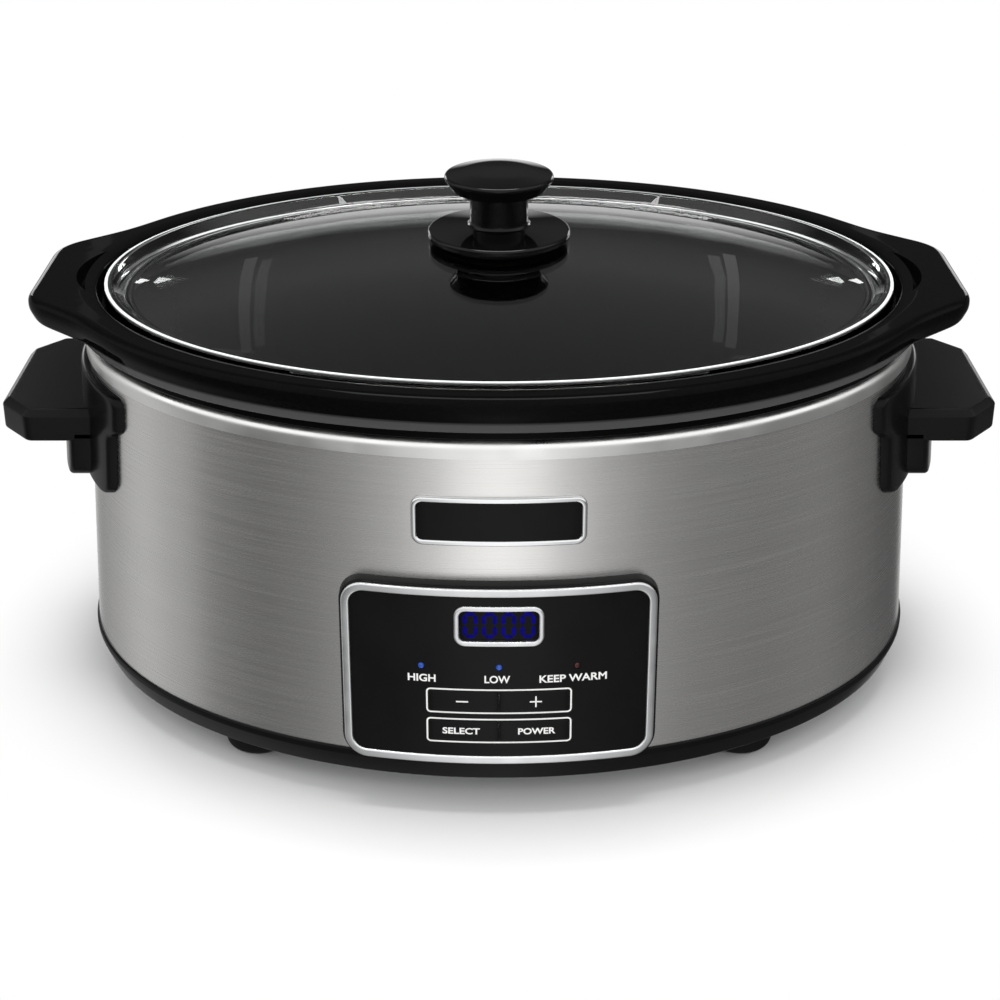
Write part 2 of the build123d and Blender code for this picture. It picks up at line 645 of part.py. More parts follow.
# ---------------------------------------------------------------- lid
def make_lid():
    """Domed glass lid with a rolled edge and a trough, its knob, washer and screw."""
    edge = lid_half
    trough = lid_half - LID_TROUGH
    edge_top = lid_low + LID_EDGE
    round_top = LID_EDGE_WIDTH / 2
    with BuildPart() as lid_round:
        with BuildSketch(Plane.XZ) as section:
            with BuildLine():
                Line((0, crown_z), (0, crown_z - LID_THICK))
                under = ThreePointArc(
                    (0, crown_z - LID_THICK),
                    (trough / 2, lid_low + LID_RISE * 0.76),
                    (trough - LID_THICK, lid_low))
                Line(under @ 1, (edge - 1, lid_low))
                Line((edge - 1, lid_low), (edge, lid_low + 1))
                Line((edge, lid_low + 1), (edge, edge_top - round_top))
                ThreePointArc(
                    (edge, edge_top - round_top), (edge - round_top, edge_top),
                    (edge - 2 * round_top, edge_top - round_top))
                Line((edge - 2 * round_top, edge_top - round_top), (trough, lid_low + LID_THICK))
                ThreePointArc(
                    (trough, lid_low + LID_THICK),
                    (trough / 2, lid_low + LID_THICK + LID_RISE * 0.76),
                    (0, crown_z))
            make_face()
        revolve(section.sketch, Axis.Z)
    with BuildPart() as lid_glass:
        add(scale(lid_round.part, by=(1, oval_ratio, 1), mode=Mode.PRIVATE))
        with Locations((0, 0, crown_z)):
            Cylinder(KNOB_SCREW + CLEAR, 4 * LID_THICK, mode=Mode.SUBTRACT)
    save("lid_glass", lid_glass)

    washer_z = crown_z + SEAT
    knob_low = washer_z + WASHER_THICK
    knob_top = knob_low + KNOB_HEIGHT
    cap_low = knob_top - KNOB_CAP
    with BuildPart() as knob_washer:
        with Locations((0, 0, washer_z + WASHER_THICK / 2)):
            Cylinder(KNOB_FLANGE - 3, WASHER_THICK)
            Cylinder(KNOB_SCREW + CLEAR, WASHER_THICK, mode=Mode.SUBTRACT)
    save("knob_washer", knob_washer)
    crown = KNOB_CAP - KNOB_CAP_EDGE
    dome = (KNOB_RADIUS ** 2 + crown ** 2) / (2 * crown)
    with BuildPart() as lid_knob:
        with BuildSketch(Plane.XZ) as section:
            with BuildLine():
                rise = Polyline(
                    (0, knob_low), (KNOB_FLANGE, knob_low), (KNOB_FLANGE, knob_low + KNOB_FLANGE_EDGE),
                    (KNOB_NECK, knob_low + KNOB_FLANGE_THICK), (KNOB_NECK, cap_low),
                    (KNOB_CAP_FOOT, cap_low), (KNOB_RADIUS, cap_low + KNOB_CAP_EDGE))
                ThreePointArc(
                    rise @ 1, (KNOB_RADIUS / 2, knob_top - dome + sqrt(dome ** 2 - KNOB_RADIUS ** 2 / 4)),
                    (0, knob_top))
                Line((0, knob_top), (0, knob_low))
            make_face()
            bends = section.vertices().filter_by(lambda v: v.X > 1 and v.Y > knob_low)
            fillet(bends, KNOB_ROUND / 2)
        revolve(section.sketch, Axis.Z)
        with Locations((0, 0, knob_low)):
            Cylinder(KNOB_SCREW + 0.02, KNOB_HEIGHT, mode=Mode.SUBTRACT)
    save("lid_knob", lid_knob)
    with BuildPart() as knob_screw:
        head_low = crown_z - LID_THICK - CLEAR - KNOB_SCREW
        with Locations((0, 0, head_low + KNOB_SCREW / 2)):
            Cylinder(3 * KNOB_SCREW, KNOB_SCREW)
        with Locations((0, 0, head_low + (knob_low + KNOB_HEIGHT / 2 - head_low) / 2)):
            Cylinder(KNOB_SCREW, knob_low + KNOB_HEIGHT / 2 - head_low)
    save("knob_screw", knob_screw)


# ---------------------------------------------------------------- control panel
def key_places():
    """Name, centre and width of each key cap on the panel's face."""
    width = KEY_ROW_WIDTH / 2 - KEY_SPLIT / 2
    shift = (width + KEY_SPLIT) / 2
    return {
        "key_minus": (-shift, KEY_UPPER, width), "key_plus": (shift, KEY_UPPER, width),
        "key_select": (-shift, KEY_LOWER, width), "key_power": (shift, KEY_LOWER, width),
    }


lamp_places = {"light_high": (-LAMP_SPACING, LAMP_UP), "light_low": (0, LAMP_UP), "light_warm": (LAMP_SPACING, LAMP_UP)}


def make_panel():
    """Curved black panel housing: face, side walls and a box that passes into the band."""
    low = band_low - PANEL_WALL
    high = band_top
    with BuildPart() as panel_housing:
        panel_prism(PANEL_WIDTH, PANEL_HEIGHT, PANEL_CORNER)
        oval_solid(band_oval, low, high, PANEL_PROUD, Mode.INTERSECT)
        oval_solid(band_oval, low, high, SEAT, Mode.SUBTRACT)
        with BuildPart(mode=Mode.PRIVATE) as box:
            panel_prism(
                PANEL_WIDTH - 2 * PANEL_WALL - 2 * SEAT, PANEL_HEIGHT - 2 * PANEL_WALL - 2 * SEAT,
                PANEL_CORNER - PANEL_WALL - SEAT)
            oval_solid(band_oval, low, high, PANEL_PROUD - PANEL_WALL / 2, Mode.INTERSECT)
            oval_solid(band_oval, low, high, -PANEL_DEPTH, Mode.SUBTRACT)
        add(box.part)
        with BuildPart(mode=Mode.PRIVATE) as hollow:
            panel_prism(
                PANEL_WIDTH - 4 * PANEL_WALL, PANEL_HEIGHT - 4 * PANEL_WALL, PANEL_CORNER - 2 * PANEL_WALL)
            oval_solid(band_oval, low, high, PANEL_PROUD - PANEL_WALL, Mode.INTERSECT)
        add(hollow.part, mode=Mode.SUBTRACT)
        with BuildPart(mode=Mode.PRIVATE) as groove:
            bezel_ring(SEAT)
            oval_solid(band_oval, low, high, PANEL_PROUD - BEZEL_SINK - SEAT, Mode.SUBTRACT)
        add(groove.part, mode=Mode.SUBTRACT)
        panel_prism(
            DISPLAY_WIDTH + 2 * SEAT, DISPLAY_HEIGHT + 2 * SEAT, DISPLAY_CORNER,
            (0, DISPLAY_UP), Mode.SUBTRACT)
        for x, y, width in key_places().values():
            panel_prism(
                width + 2 * CLEAR, KEY_HEIGHT + 2 * CLEAR, KEY_CORNER + CLEAR, (x, y), Mode.SUBTRACT)
        for x, y in lamp_places.values():
            with BuildSketch(panel_plane) as hole:
                with Locations((x, y)):
                    Circle(LAMP_RADIUS + SEAT / 2)
            extrude(hole.sketch, amount=PANEL_REACH / 2, both=True, mode=Mode.SUBTRACT)
    save("panel_housing", panel_housing)


def bezel_ring(grow):
    """The bezel's plan as a bar through the panel, `grow` larger each way."""
    outer = BEZEL_MARGIN - grow
    inner = BEZEL_MARGIN + BEZEL_WIDTH + grow
    panel_prism(PANEL_WIDTH - 2 * outer, PANEL_HEIGHT - 2 * outer, PANEL_CORNER - outer)
    panel_prism(
        PANEL_WIDTH - 2 * inner, PANEL_HEIGHT - 2 * inner, PANEL_CORNER - inner, mode=Mode.SUBTRACT)


def front_layer(name, outline, low_out, high_out):
    """Writes a piece that is `outline` cut from the curved layer between two offsets."""
    with BuildPart() as piece:
        outline()
        oval_solid(band_oval, band_low - PANEL_WALL, band_top, high_out, Mode.INTERSECT)
        oval_solid(band_oval, band_low - PANEL_WALL, band_top, low_out, Mode.SUBTRACT)
    save(name, piece)


def framed(width, height, corner, frame, up):
    """A rounded frame as a bar through the panel."""
    panel_prism(width, height, corner, (0, up))
    panel_prism(
        width - 2 * frame, height - 2 * frame, corner - frame / 2, (0, up), Mode.SUBTRACT)


def make_panel_trim():
    """Bezel, display frame and window, key caps and light pipes."""
    face = PANEL_PROUD
    front_layer("panel_bezel", lambda: bezel_ring(0), face - BEZEL_SINK, face + BEZEL_PROUD)
    front_layer(
        "display_frame",
        lambda: framed(DISPLAY_WIDTH, DISPLAY_HEIGHT, DISPLAY_CORNER, DISPLAY_FRAME, DISPLAY_UP),
        face - PANEL_WALL, face + BEZEL_PROUD)
    window = DISPLAY_FRAME + SEAT
    front_layer(
        "display_window",
        lambda: panel_prism(
            DISPLAY_WIDTH - 2 * window, DISPLAY_HEIGHT - 2 * window,
            DISPLAY_CORNER - window / 2, (0, DISPLAY_UP)),
        face - PANEL_WALL, face - SEAT)
    for name, (x, y, width) in key_places().items():
        front_layer(
            name, lambda: panel_prism(width, KEY_HEIGHT, KEY_CORNER, (x, y)),
            face - KEY_THICK, face + CLEAR)
    for name, (x, y) in lamp_places.items():
        front_layer(
            name, lambda: panel_prism(2 * LAMP_RADIUS, 2 * LAMP_RADIUS, LAMP_RADIUS * 0.99, (x, y)),
            face - 2 * PANEL_WALL, face + CLEAR)


def make_control_board():
    """Flat control board behind the panel with display, switches and fixing screws."""
    board_front = -(PANEL_PROUD + BOARD_BACK)
    with BuildPart() as control_board:
        with BuildSketch(panel_plane.offset(board_front)) as outline:
            RectangleRounded(BOARD_WIDTH, BOARD_HEIGHT, 2)
            with GridLocations(BOARD_WIDTH - 8, BOARD_HEIGHT - 8, 2, 2):
                Circle(SCREW_RADIUS * 0.8, mode=Mode.SUBTRACT)
        extrude(outline.sketch, amount=-BOARD_THICK)
    save("control_board", control_board)
    with BuildPart() as display_module:
        with BuildSketch(panel_plane.offset(board_front)) as outline:
            with Locations((0, DISPLAY_UP)):
                Rectangle(DISPLAY_WIDTH - 2 * DISPLAY_FRAME, DISPLAY_HEIGHT - 2 * DISPLAY_FRAME)
        extrude(outline.sketch, amount=-board_front - PANEL_WALL - 2 * CLEAR)
    save("display_module", display_module)
    with BuildPart() as key_switches:
        for x, y, width in key_places().values():
            with BuildSketch(panel_plane.offset(board_front)) as body:
                with Locations((x, y)):
                    Rectangle(SWITCH_SIZE, SWITCH_SIZE)
            extrude(body.sketch, amount=SWITCH_BODY)
            with BuildSketch(panel_plane.offset(board_front + SWITCH_BODY)) as button:
                with Locations((x, y)):
                    Circle(SWITCH_SIZE / 4)
            gap = -board_front - SWITCH_BODY - KEY_THICK - KEY_TRAVEL - CLEAR - SWITCH_CURVE
            extrude(button.sketch, amount=gap)
    save("key_switches", key_switches)
    with BuildPart() as board_posts:
        with BuildSketch(panel_plane.offset(board_front)) as posts:
            with GridLocations(BOARD_WIDTH - 8, BOARD_HEIGHT - 8, 2, 2):
                Circle(SCREW_RADIUS * 1.6)
        extrude(posts.sketch, amount=PANEL_REACH / 2)
        oval_solid(band_oval, band_low - PANEL_WALL, band_top, PANEL_PROUD - PANEL_WALL - SEAT, Mode.INTERSECT)
    save("board_posts", board_posts)


def make_badge():
    """Bare badge: a chrome frame round a smooth black plate."""
    up = band_low + BADGE_BOTTOM + BADGE_HEIGHT / 2 - panel_middle
    front_layer(
        "badge_frame", lambda: framed(BADGE_WIDTH, BADGE_HEIGHT, BADGE_CORNER, BADGE_FRAME, up),
        SEAT, BADGE_PROUD)
    inner = BADGE_FRAME + SEAT
    front_layer(
        "badge_plate",
        lambda: panel_prism(
            BADGE_WIDTH - 2 * inner, BADGE_HEIGHT - 2 * inner, BADGE_CORNER - inner / 2, (0, up)),
        SEAT, BADGE_PROUD - CLEAR)


# ---------------------------------------------------------------- handles
def make_handles():
    """Side handles: a flat grip on a bracket, each on a pad that wraps the band's end."""
    pad_top = grip_top + PAD_TAB_HEIGHT
    for name, side in (("left", -1), ("right", 1)):
        with BuildPart() as handle:
            with BuildSketch(Plane.XY.offset(grip_low)) as grip:
                with BuildLine():
                    Polyline(
                        (0, -GRIP_HALF), (side * (GRIP_REACH - GRIP_CHAMFER_X), -GRIP_HALF),
                        (side * GRIP_REACH, -GRIP_HALF + GRIP_CHAMFER_Y),
                        (side * GRIP_REACH, GRIP_HALF - GRIP_CHAMFER_Y),
                        (side * (GRIP_REACH - GRIP_CHAMFER_X), GRIP_HALF), (0, GRIP_HALF), close=True)
                make_face()
                fillet(grip.vertices().filter_by(lambda v: abs(v.X) > 1), GRIP_CHAMFER_X / 3)
            extrude(grip.sketch, amount=GRIP_THICK)
            top_edges = handle.edges().group_by(Axis.Z)[-1].filter_by(lambda e: abs(e.center().X) > 1)
            chamfer(top_edges, GRIP_BEVEL)
            with BuildPart(mode=Mode.PRIVATE) as bracket:
                with BuildSketch(Plane.YZ) as profile:
                    with Locations((0, (bracket_low + grip_top - GRIP_BEVEL) / 2)):
                        RectangleRounded(
                            2 * GRIP_HALF, grip_top - GRIP_BEVEL - bracket_low, PAD_CORNER)
                extrude(profile.sketch, amount=side * GRIP_REACH)
                oval_solid(band_oval, band_low, band_top, BRACKET_PROUD, Mode.INTERSECT)
            add(bracket.part)
            oval_solid(band_oval, band_low, band_top, PAD_THICK + SEAT, Mode.SUBTRACT)
            with Locations(*handle_screw_planes()):
                Cylinder(SCREW_RADIUS, 2 * PAD_THICK + 1.4 * BRACKET_PROUD, mode=Mode.SUBTRACT)
        save(f"handle_{name}", handle)
        with BuildPart() as pad:
            with BuildSketch(Plane.YZ) as profile:
                pad_low = bracket_low + SEAT
                with Locations((0, (pad_low + grip_top) / 2)):
                    RectangleRounded(2 * PAD_HALF, grip_top - pad_low, PAD_CORNER)
                with Locations((0, (grip_top - PAD_CORNER + pad_top) / 2)):
                    RectangleRounded(2 * PAD_TAB_HALF, pad_top - grip_top + PAD_CORNER, PAD_CORNER / 2)
            extrude(profile.sketch, amount=side * GRIP_REACH)
            oval_solid(band_oval, band_low, band_top, PAD_THICK, Mode.INTERSECT)
            oval_solid(band_oval, band_low, band_top, SEAT, Mode.SUBTRACT)
            with Locations(*handle_screw_planes()):
                Cylinder(SCREW_RADIUS + SEAT, 4 * BRACKET_PROUD, mode=Mode.SUBTRACT)
        save(f"handle_pad_{name}", pad)
    with BuildPart() as handle_screws:
        shank = PAD_THICK + BRACKET_PROUD / 2
        head_gap = BAND_SHEET / 2 + CLEAR
        for plane in handle_screw_planes():
            with Locations(plane.offset((shank - head_gap) / 2)):
                Cylinder(SCREW_RADIUS - 0.02, shank + head_gap)
            with Locations(plane.offset(-head_gap - SCREW_RADIUS / 2)):
                Cylinder(2 * SCREW_RADIUS, SCREW_RADIUS)
    save("handle_screws", handle_screws)


os.makedirs("parts", exist_ok=True)
make_outer_band()
make_top_bead()
make_base_ring()
make_bottom_cover()
make_feet()
make_base_fasteners()
make_heating_well()
make_heater()
make_sensors()
make_power_parts()
make_cord_gland()
make_crock()
make_lid()
make_panel()
make_panel_trim()
make_control_board()
make_badge()
make_handles()
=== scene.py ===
"""Oval digital slow cooker: smooth surfaces and finishes over the CAD frame, as an add-on.

Metres, +Z up, in the CAD model's own frame: the floor is z = 0 and the control panel faces -Y.
Every oval of the body is A wide and A - OVAL_STEP deep, as in the CAD model.
"""
import math

import bmesh
import bpy
import numpy as np
from bpy.props import FloatProperty, FloatVectorProperty, IntProperty, PointerProperty, StringProperty
from mathutils import Matrix, Vector


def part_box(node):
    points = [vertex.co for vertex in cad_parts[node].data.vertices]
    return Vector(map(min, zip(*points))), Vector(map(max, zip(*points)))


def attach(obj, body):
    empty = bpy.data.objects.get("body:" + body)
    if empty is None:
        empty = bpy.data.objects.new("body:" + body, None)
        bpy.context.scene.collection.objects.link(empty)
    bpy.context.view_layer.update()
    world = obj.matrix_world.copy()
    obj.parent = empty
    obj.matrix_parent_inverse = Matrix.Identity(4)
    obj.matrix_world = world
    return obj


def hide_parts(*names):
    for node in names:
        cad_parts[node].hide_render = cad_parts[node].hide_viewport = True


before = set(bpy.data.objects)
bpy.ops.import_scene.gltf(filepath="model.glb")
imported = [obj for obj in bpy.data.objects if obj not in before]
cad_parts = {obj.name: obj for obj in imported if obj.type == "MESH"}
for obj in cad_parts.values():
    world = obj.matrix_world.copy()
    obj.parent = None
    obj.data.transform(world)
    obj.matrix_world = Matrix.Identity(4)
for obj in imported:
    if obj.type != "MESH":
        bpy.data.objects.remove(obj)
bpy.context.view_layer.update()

bl_info = {
    "name": "Oval slow cooker",
    "version": (1, 0, 0),
    "blender": (4, 5, 0),
    "location": "3D View > Sidebar > Slow cooker",
    "description": "Builds an oval digital slow cooker's surfaces and finishes on its CAD frame",
    "category": "Add Mesh",
}

MM = 0.001

# ---------------------------------------------------------------- places read from the frame
band_min, band_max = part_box("outer_band")
bead_min, bead_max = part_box("top_bead")
ring_min, ring_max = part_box("base_ring")
crock_min, crock_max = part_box("crock")
lid_min, lid_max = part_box("lid_glass")
knob_min, knob_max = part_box("lid_knob")
grip_min, grip_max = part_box("handle_right")
pad_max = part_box("handle_pad_right")[1]
panel_min, panel_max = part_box("panel_housing")

OVAL_STEP = band_max.x - band_max.y
BAND_HALF = band_max.x
BAND_LOW = band_min.z
BAND_TOP = bead_min.z
SEAT = 0.1 * MM
RIM_LOW = crock_max.z - 14.2 * MM
PAD_THICK = 3.4 * MM


# ---------------------------------------------------------------- what a user would change
def length(name, description, millimetres):
    """A length property, its default in millimetres."""
    return FloatProperty(
        name=name, description=description, default=millimetres * MM, unit="LENGTH", precision=5)


class CookerSizes(bpy.types.PropertyGroup):
    """Radii, walls and widths of the visible pieces."""

    bead_radius: length("Bead radius", "Roll of the bead over the steel band", 3.3)
    bead_proud: length("Bead proud", "How far the bead stands out past the band", 1.3)
    sheet: length("Steel sheet", "Thickness of the band and the bead", 0.8)
    rim_width: length("Rim width", "Crock's rim, from its outer edge to the lid's recess", 12.7)
    rim_roll: length("Rim roll", "Radius of the crock rim's outer top edge", 3.4)
    crock_wall: length("Crock wall", "Thickness of the stoneware", 8)
    ledge_depth: length("Ledge depth", "Rim's top down to the ledge that carries the lid", 8.8)
    lug_tip: length("Lug tip", "Half-length of a lug's outer edge", 31)
    lug_root: length("Lug root", "Half-length of a lug where it leaves the rim", 54)
    lug_thick: length("Lug thickness", "Height of a lug's edge", 9)
    groove_half: length("Groove half-length", "Half-length of the crescent behind a lug", 25)
    groove_width: length("Groove width", "Width of the crescent at its middle", 4.2)
    groove_depth: length("Groove depth", "Depth of the crescent at its middle", 5)
    lid_edge: length("Lid edge", "Height of the lid's rolled glass edge", 8.4)
    lid_trough: length("Lid trough", "Lid's edge in to the lowest line of its top", 9)
    lid_wall: length("Lid glass", "Thickness of the glass", 4)
    bezel_width: length("Bezel width", "Chrome line round the control panel", 3)
    display_frame: length("Display frame", "Chrome line round the display", 1.9)
    badge_frame: length("Badge frame", "Chrome line round the bare badge", 2)
    line_width: length("Printed line", "Width of the printed outlines round the keys", 0.6)
    digit_height: length("Digit height", "Height of a display digit", 10.2)
    turns: IntProperty(
        name="Points round", description="Points round each oval", default=480, min=48)


def colour(name, description, code):
    """A colour property whose default is an sRGB hex value turned linear."""
    return FloatVectorProperty(
        name=name, description=description, subtype="COLOR", size=4, min=0, max=1, default=linear(code))


def linear(code):
    """sRGB hex such as "C8C8C4" to linear RGBA: (c/12.92) below 0.04045, else ((c+0.055)/1.055)^2.4."""
    parts = np.array([int(code[i:i + 2], 16) for i in (0, 2, 4)]) / 255
    curved = np.where(parts <= 0.04045, parts / 12.92, ((parts + 0.055) / 1.055) ** 2.4)
    return (*curved.tolist(), 1.0)


class CookerColours(bpy.types.PropertyGroup):
    """Colours of the finishes."""

    steel: colour("Brushed steel", "Wrapped band", "D9D8D6")
    bead: colour("Polished steel", "Rolled bead", "F0F0EE")
    chrome: colour("Chrome", "Bezel, display frame and badge frame", "E2E3E4")
    glaze: colour("Black glaze", "Crock", "060606")
    # lip: painted reflection, the dark grey that stands in for what the rim's lower lip reflects
    lip: colour("Painted lip reflection", "Rim's lower lip", "4A4A4A")
    phenolic: colour("Phenolic", "Lid knob", "080808")
    grip: colour("Grip plastic", "Handles and pads", "0F0F0F")
    ring: colour("Base plastic", "Ring under the band", "0C0C0C")
    panel: colour("Panel plastic", "Gloss face of the panel", "0F0F0F")
    ink: colour("Printed ink", "Words, signs and key outlines", "F2F2F0")
    digits: colour("Digits", "Lit digits of the display", "140AA8")
    lamp_lit: colour("Lit lamp", "High and low lamps", "1E4498")
    # lamp_off: colour of the unlit lens, also used for its faint painted glow
    lamp_off: colour("Unlit lamp", "Keep-warm lamp", "3A0605")
    glass: colour("Glass", "Lid", "F2F5F4")
    # painted highlight: colour of the white line round the lid's edge
    ground: colour("Painted edge highlight", "Line round the lid's edge", "F2F4F4")


class StudioSettings(bpy.types.PropertyGroup):
    """Camera and soft studio light."""

    camera_back: FloatProperty(
        name="Camera back", description="Camera in front of the middle", default=0.71906, unit="LENGTH")
    camera_up: FloatProperty(
        name="Camera up", description="Camera above the floor", default=0.41746, unit="LENGTH")
    camera_tilt: FloatProperty(
        name="Camera tilt", description="Camera's angle below the horizon",
        default=math.radians(26.2736), subtype="ANGLE")
    lens: FloatProperty(name="Lens", description="Focal length in millimetres", default=69.526)
    top_watts: FloatProperty(name="Top softbox", description="Power of the overhead light", default=16)
    top_width: FloatProperty(
        name="Softbox width", description="Width of the overhead light", default=1.0, unit="LENGTH")
    top_back: FloatProperty(
        name="Softbox back", description="Overhead light behind the middle", default=0.06, unit="LENGTH")
    back_watts: FloatProperty(
        name="Back boxes", description="Power of each low box behind", default=2.5)
    strip_watts: FloatProperty(
        name="Strips", description="Power of the strip behind on the left", default=0.014)
    walls: FloatProperty(name="Walls", description="Level of the brightest wall in reflections", default=1.3)


class CookerWords(bpy.types.PropertyGroup):
    """Words printed on the panel."""

    high: StringProperty(name="First lamp", description="Word under the left lamp", default="HIGH")
    low: StringProperty(name="Second lamp", description="Word under the middle lamp", default="LOW")
    warm: StringProperty(name="Third lamp", description="Words under the right lamp", default="KEEP WARM")
    select: StringProperty(name="Left key", description="Word on the lower left key", default="SELECT")
    power: StringProperty(name="Right key", description="Word on the lower right key", default="POWER")


# ---------------------------------------------------------------- surface tools
def rounded(corners, radius, closed=False, steps=6):
    """A polyline with each corner turned into a circular arc.

    The arc is the rational quadratic of its two tangent points and the corner, the corner
    weighted by the sine of half its angle, which is exactly a circle.  A corner's radius is cut
    down where its straight sides are too short for it."""
    corners = np.asarray(corners, float)
    radius = np.broadcast_to(radius, len(corners))
    s = np.linspace(0, 1, steps + 1)[:, None]
    parts = []
    for i, here in enumerate(corners):
        if radius[i] == 0 or (not closed and i in (0, len(corners) - 1)):
            parts.append(here[None])
            continue
        before = corners[i - 1] - here
        after = corners[(i + 1) % len(corners)] - here
        long_before, long_after = np.linalg.norm(before), np.linalg.norm(after)
        half = math.acos(np.clip(before @ after / (long_before * long_after), -1, 1)) / 2
        cut = min(radius[i] / math.tan(half), 0.49 * long_before, 0.49 * long_after)
        start = here + before * cut / long_before
        end = here + after * cut / long_after
        pull = 2 * math.sin(half) * s * (1 - s)
        parts.append(((1 - s) ** 2 * start + pull * here + s ** 2 * end) / ((1 - s) ** 2 + pull + s ** 2))
    return np.vstack(parts)


def even(outline, spacing):
    """A closed outline sampled again at even steps along its length, by linear interpolation."""
    ring = np.vstack([outline, outline[:1]])
    along = np.concatenate([[0], np.cumsum(np.linalg.norm(np.diff(ring, axis=0), axis=1))])
    count = max(24, int(along[-1] / spacing))
    at = np.linspace(0, along[-1], count, endpoint=False)
    return np.stack([np.interp(at, along, ring[:, 0]), np.interp(at, along, ring[:, 1])], -1)


def outward(outline):
    """Unit normals of an anticlockwise outline: each central difference turned by a quarter."""
    run = np.roll(outline, -1, axis=0) - np.roll(outline, 1, axis=0)
    normal = np.stack([run[:, 1], -run[:, 0]], -1)
    return normal / np.linalg.norm(normal, axis=1, keepdims=True)


def box_outline(width, height, corner, centre=(0, 0), spacing=1 * MM):
    """Rounded rectangle as an even anticlockwise outline."""
    x, y = width / 2, height / 2
    shape = rounded([(-x, -y), (x, -y), (x, y), (-x, y)], corner, closed=True, steps=12)
    return even(shape, spacing) + np.asarray(centre)


def grid_faces(rows, around, loop):
    """Quads of a grid that is closed round its columns and, with loop, from last row to first."""
    index = np.arange(rows * around).reshape(rows, around)
    if loop:
        index = np.vstack([index, index[:1]])
    here, beyond = index[:-1], index[1:]
    quads = np.stack([here, np.roll(here, -1, 1), np.roll(beyond, -1, 1), beyond], -1)
    return quads.reshape(-1, 4)


def surface(rows, loop=False, poles=(None, None)):
    """Points and faces of a grid of rows; a pole is a point that closes the first or last row."""
    rows = np.asarray(rows, float)
    count, around = rows.shape[:2]
    points = rows.reshape(-1, 3)
    faces = grid_faces(count, around, loop).tolist()
    first, last = np.arange(around), np.arange(around)[::-1] + (count - 1) * around
    for ring, pole in zip((first, last), poles):
        if pole is not None:
            tip = np.full(around, len(points))
            points = np.vstack([points, pole])
            faces += np.stack([np.roll(ring, -1), ring, tip], -1).tolist()
    return points, faces


def taken(mesh):
    """Points and faces of a mesh, which is then removed."""
    points = np.empty(len(mesh.vertices) * 3)
    mesh.vertices.foreach_get("co", points)
    faces = [list(face.vertices) for face in mesh.polygons]
    bpy.data.meshes.remove(mesh)
    return points.reshape(-1, 3), faces


def joined(parts):
    """Several (points, faces) pairs as one."""
    points, faces, start = [], [], 0
    for part_points, part_faces in parts:
        points.append(part_points)
        faces += [[start + i for i in face] for face in part_faces]
        start += len(part_points)
    return np.vstack(points), faces


def add_piece(name, shape, body, material, replaced=(), sharp=32):
    """Makes the object of a closed shape, facing outwards, and tells the frame where it belongs."""
    points, faces = shape
    mesh = bpy.data.meshes.new(name)
    mesh.from_pydata(points.tolist(), [], faces)
    shell = bmesh.new()
    shell.from_mesh(mesh)
    bmesh.ops.remove_doubles(shell, verts=shell.verts, dist=1e-7)
    bmesh.ops.dissolve_degenerate(shell, edges=shell.edges, dist=1e-8)
    if shell.calc_volume(signed=True) < 0:
        bmesh.ops.reverse_faces(shell, faces=shell.faces)
    shell.to_mesh(mesh)
    shell.free()
    mesh.shade_smooth()
    mesh.set_sharp_from_angle(angle=math.radians(sharp))
    piece = bpy.data.objects.new(name, mesh)
    bpy.context.collection.objects.link(piece)
    mesh.materials.append(material)
    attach(piece, body)
    if replaced:
        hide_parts(*replaced)
    return piece


# ---------------------------------------------------------------- forms of this object
def band_half(z, out=0.0):
    """Half-width of the band's oval at height z, `out` beyond its face: it narrows evenly upwards."""
    sizes = bpy.context.scene.cooker_sizes
    top_half = bead_max.x - sizes.bead_proud
    return BAND_HALF - (BAND_HALF - top_half) * (z - BAND_LOW) / (BAND_TOP - BAND_LOW) + out


def on_front(x, z, out):
    """Bends (across, up, outward) onto the band's front: y = -(A - step) sqrt(1 - (x/A)^2)."""
    half = band_half(z, out)
    return np.stack([x, -(half - OVAL_STEP) * np.sqrt(1 - (x / half) ** 2), z], -1)


def on_end(side):
    """A function that bends (along Y, up, outward) onto the band's left or right end."""
    def place(y, z, out):
        half = band_half(z, out)
        return np.stack([side * half * np.sqrt(1 - (y / (half - OVAL_STEP)) ** 2), y, z], -1)
    return place


def oval_frame(half, turns):
    """Points and unit normals of the oval (A cos t, (A - step) sin t)."""
    angle = np.linspace(0, 2 * np.pi, turns, endpoint=False)
    deep = half - OVAL_STEP
    points = np.stack([half * np.cos(angle), deep * np.sin(angle)], -1)
    normals = np.stack([np.cos(angle) / half, np.sin(angle) / deep], -1)
    return points, normals / np.linalg.norm(normals, axis=1, keepdims=True)


def round_oval(half, section, turns, loop=True):
    """Carries an (outward, height) section round an oval, along the oval's own normals."""
    points, normals = oval_frame(half, turns)
    out, height = np.asarray(section, float).T
    flat = points[None] + out[:, None, None] * normals[None]
    tall = np.broadcast_to(height[:, None, None], (*flat.shape[:2], 1))
    return surface(np.concatenate([flat, tall], -1), loop=loop)


def turned(profile, squash, turns, centre=(0.0, 0.0), pole_low=True, pole_high=True):
    """Turns a (radius, height) profile about Z with y squashed: (r cos t, squash r sin t, z)."""
    angle = np.linspace(0, 2 * np.pi, turns, endpoint=False)
    radius, height = np.asarray(profile, float).T
    x = centre[0] + radius[:, None] * np.cos(angle)
    y = centre[1] + squash * radius[:, None] * np.sin(angle)
    z = np.broadcast_to(height[:, None], x.shape)
    low = (*centre, height[0]) if pole_low else None
    high = (*centre, height[-1]) if pole_high else None
    return surface(np.stack([x, y, z], -1), loop=not (pole_low or pole_high), poles=(low, high))


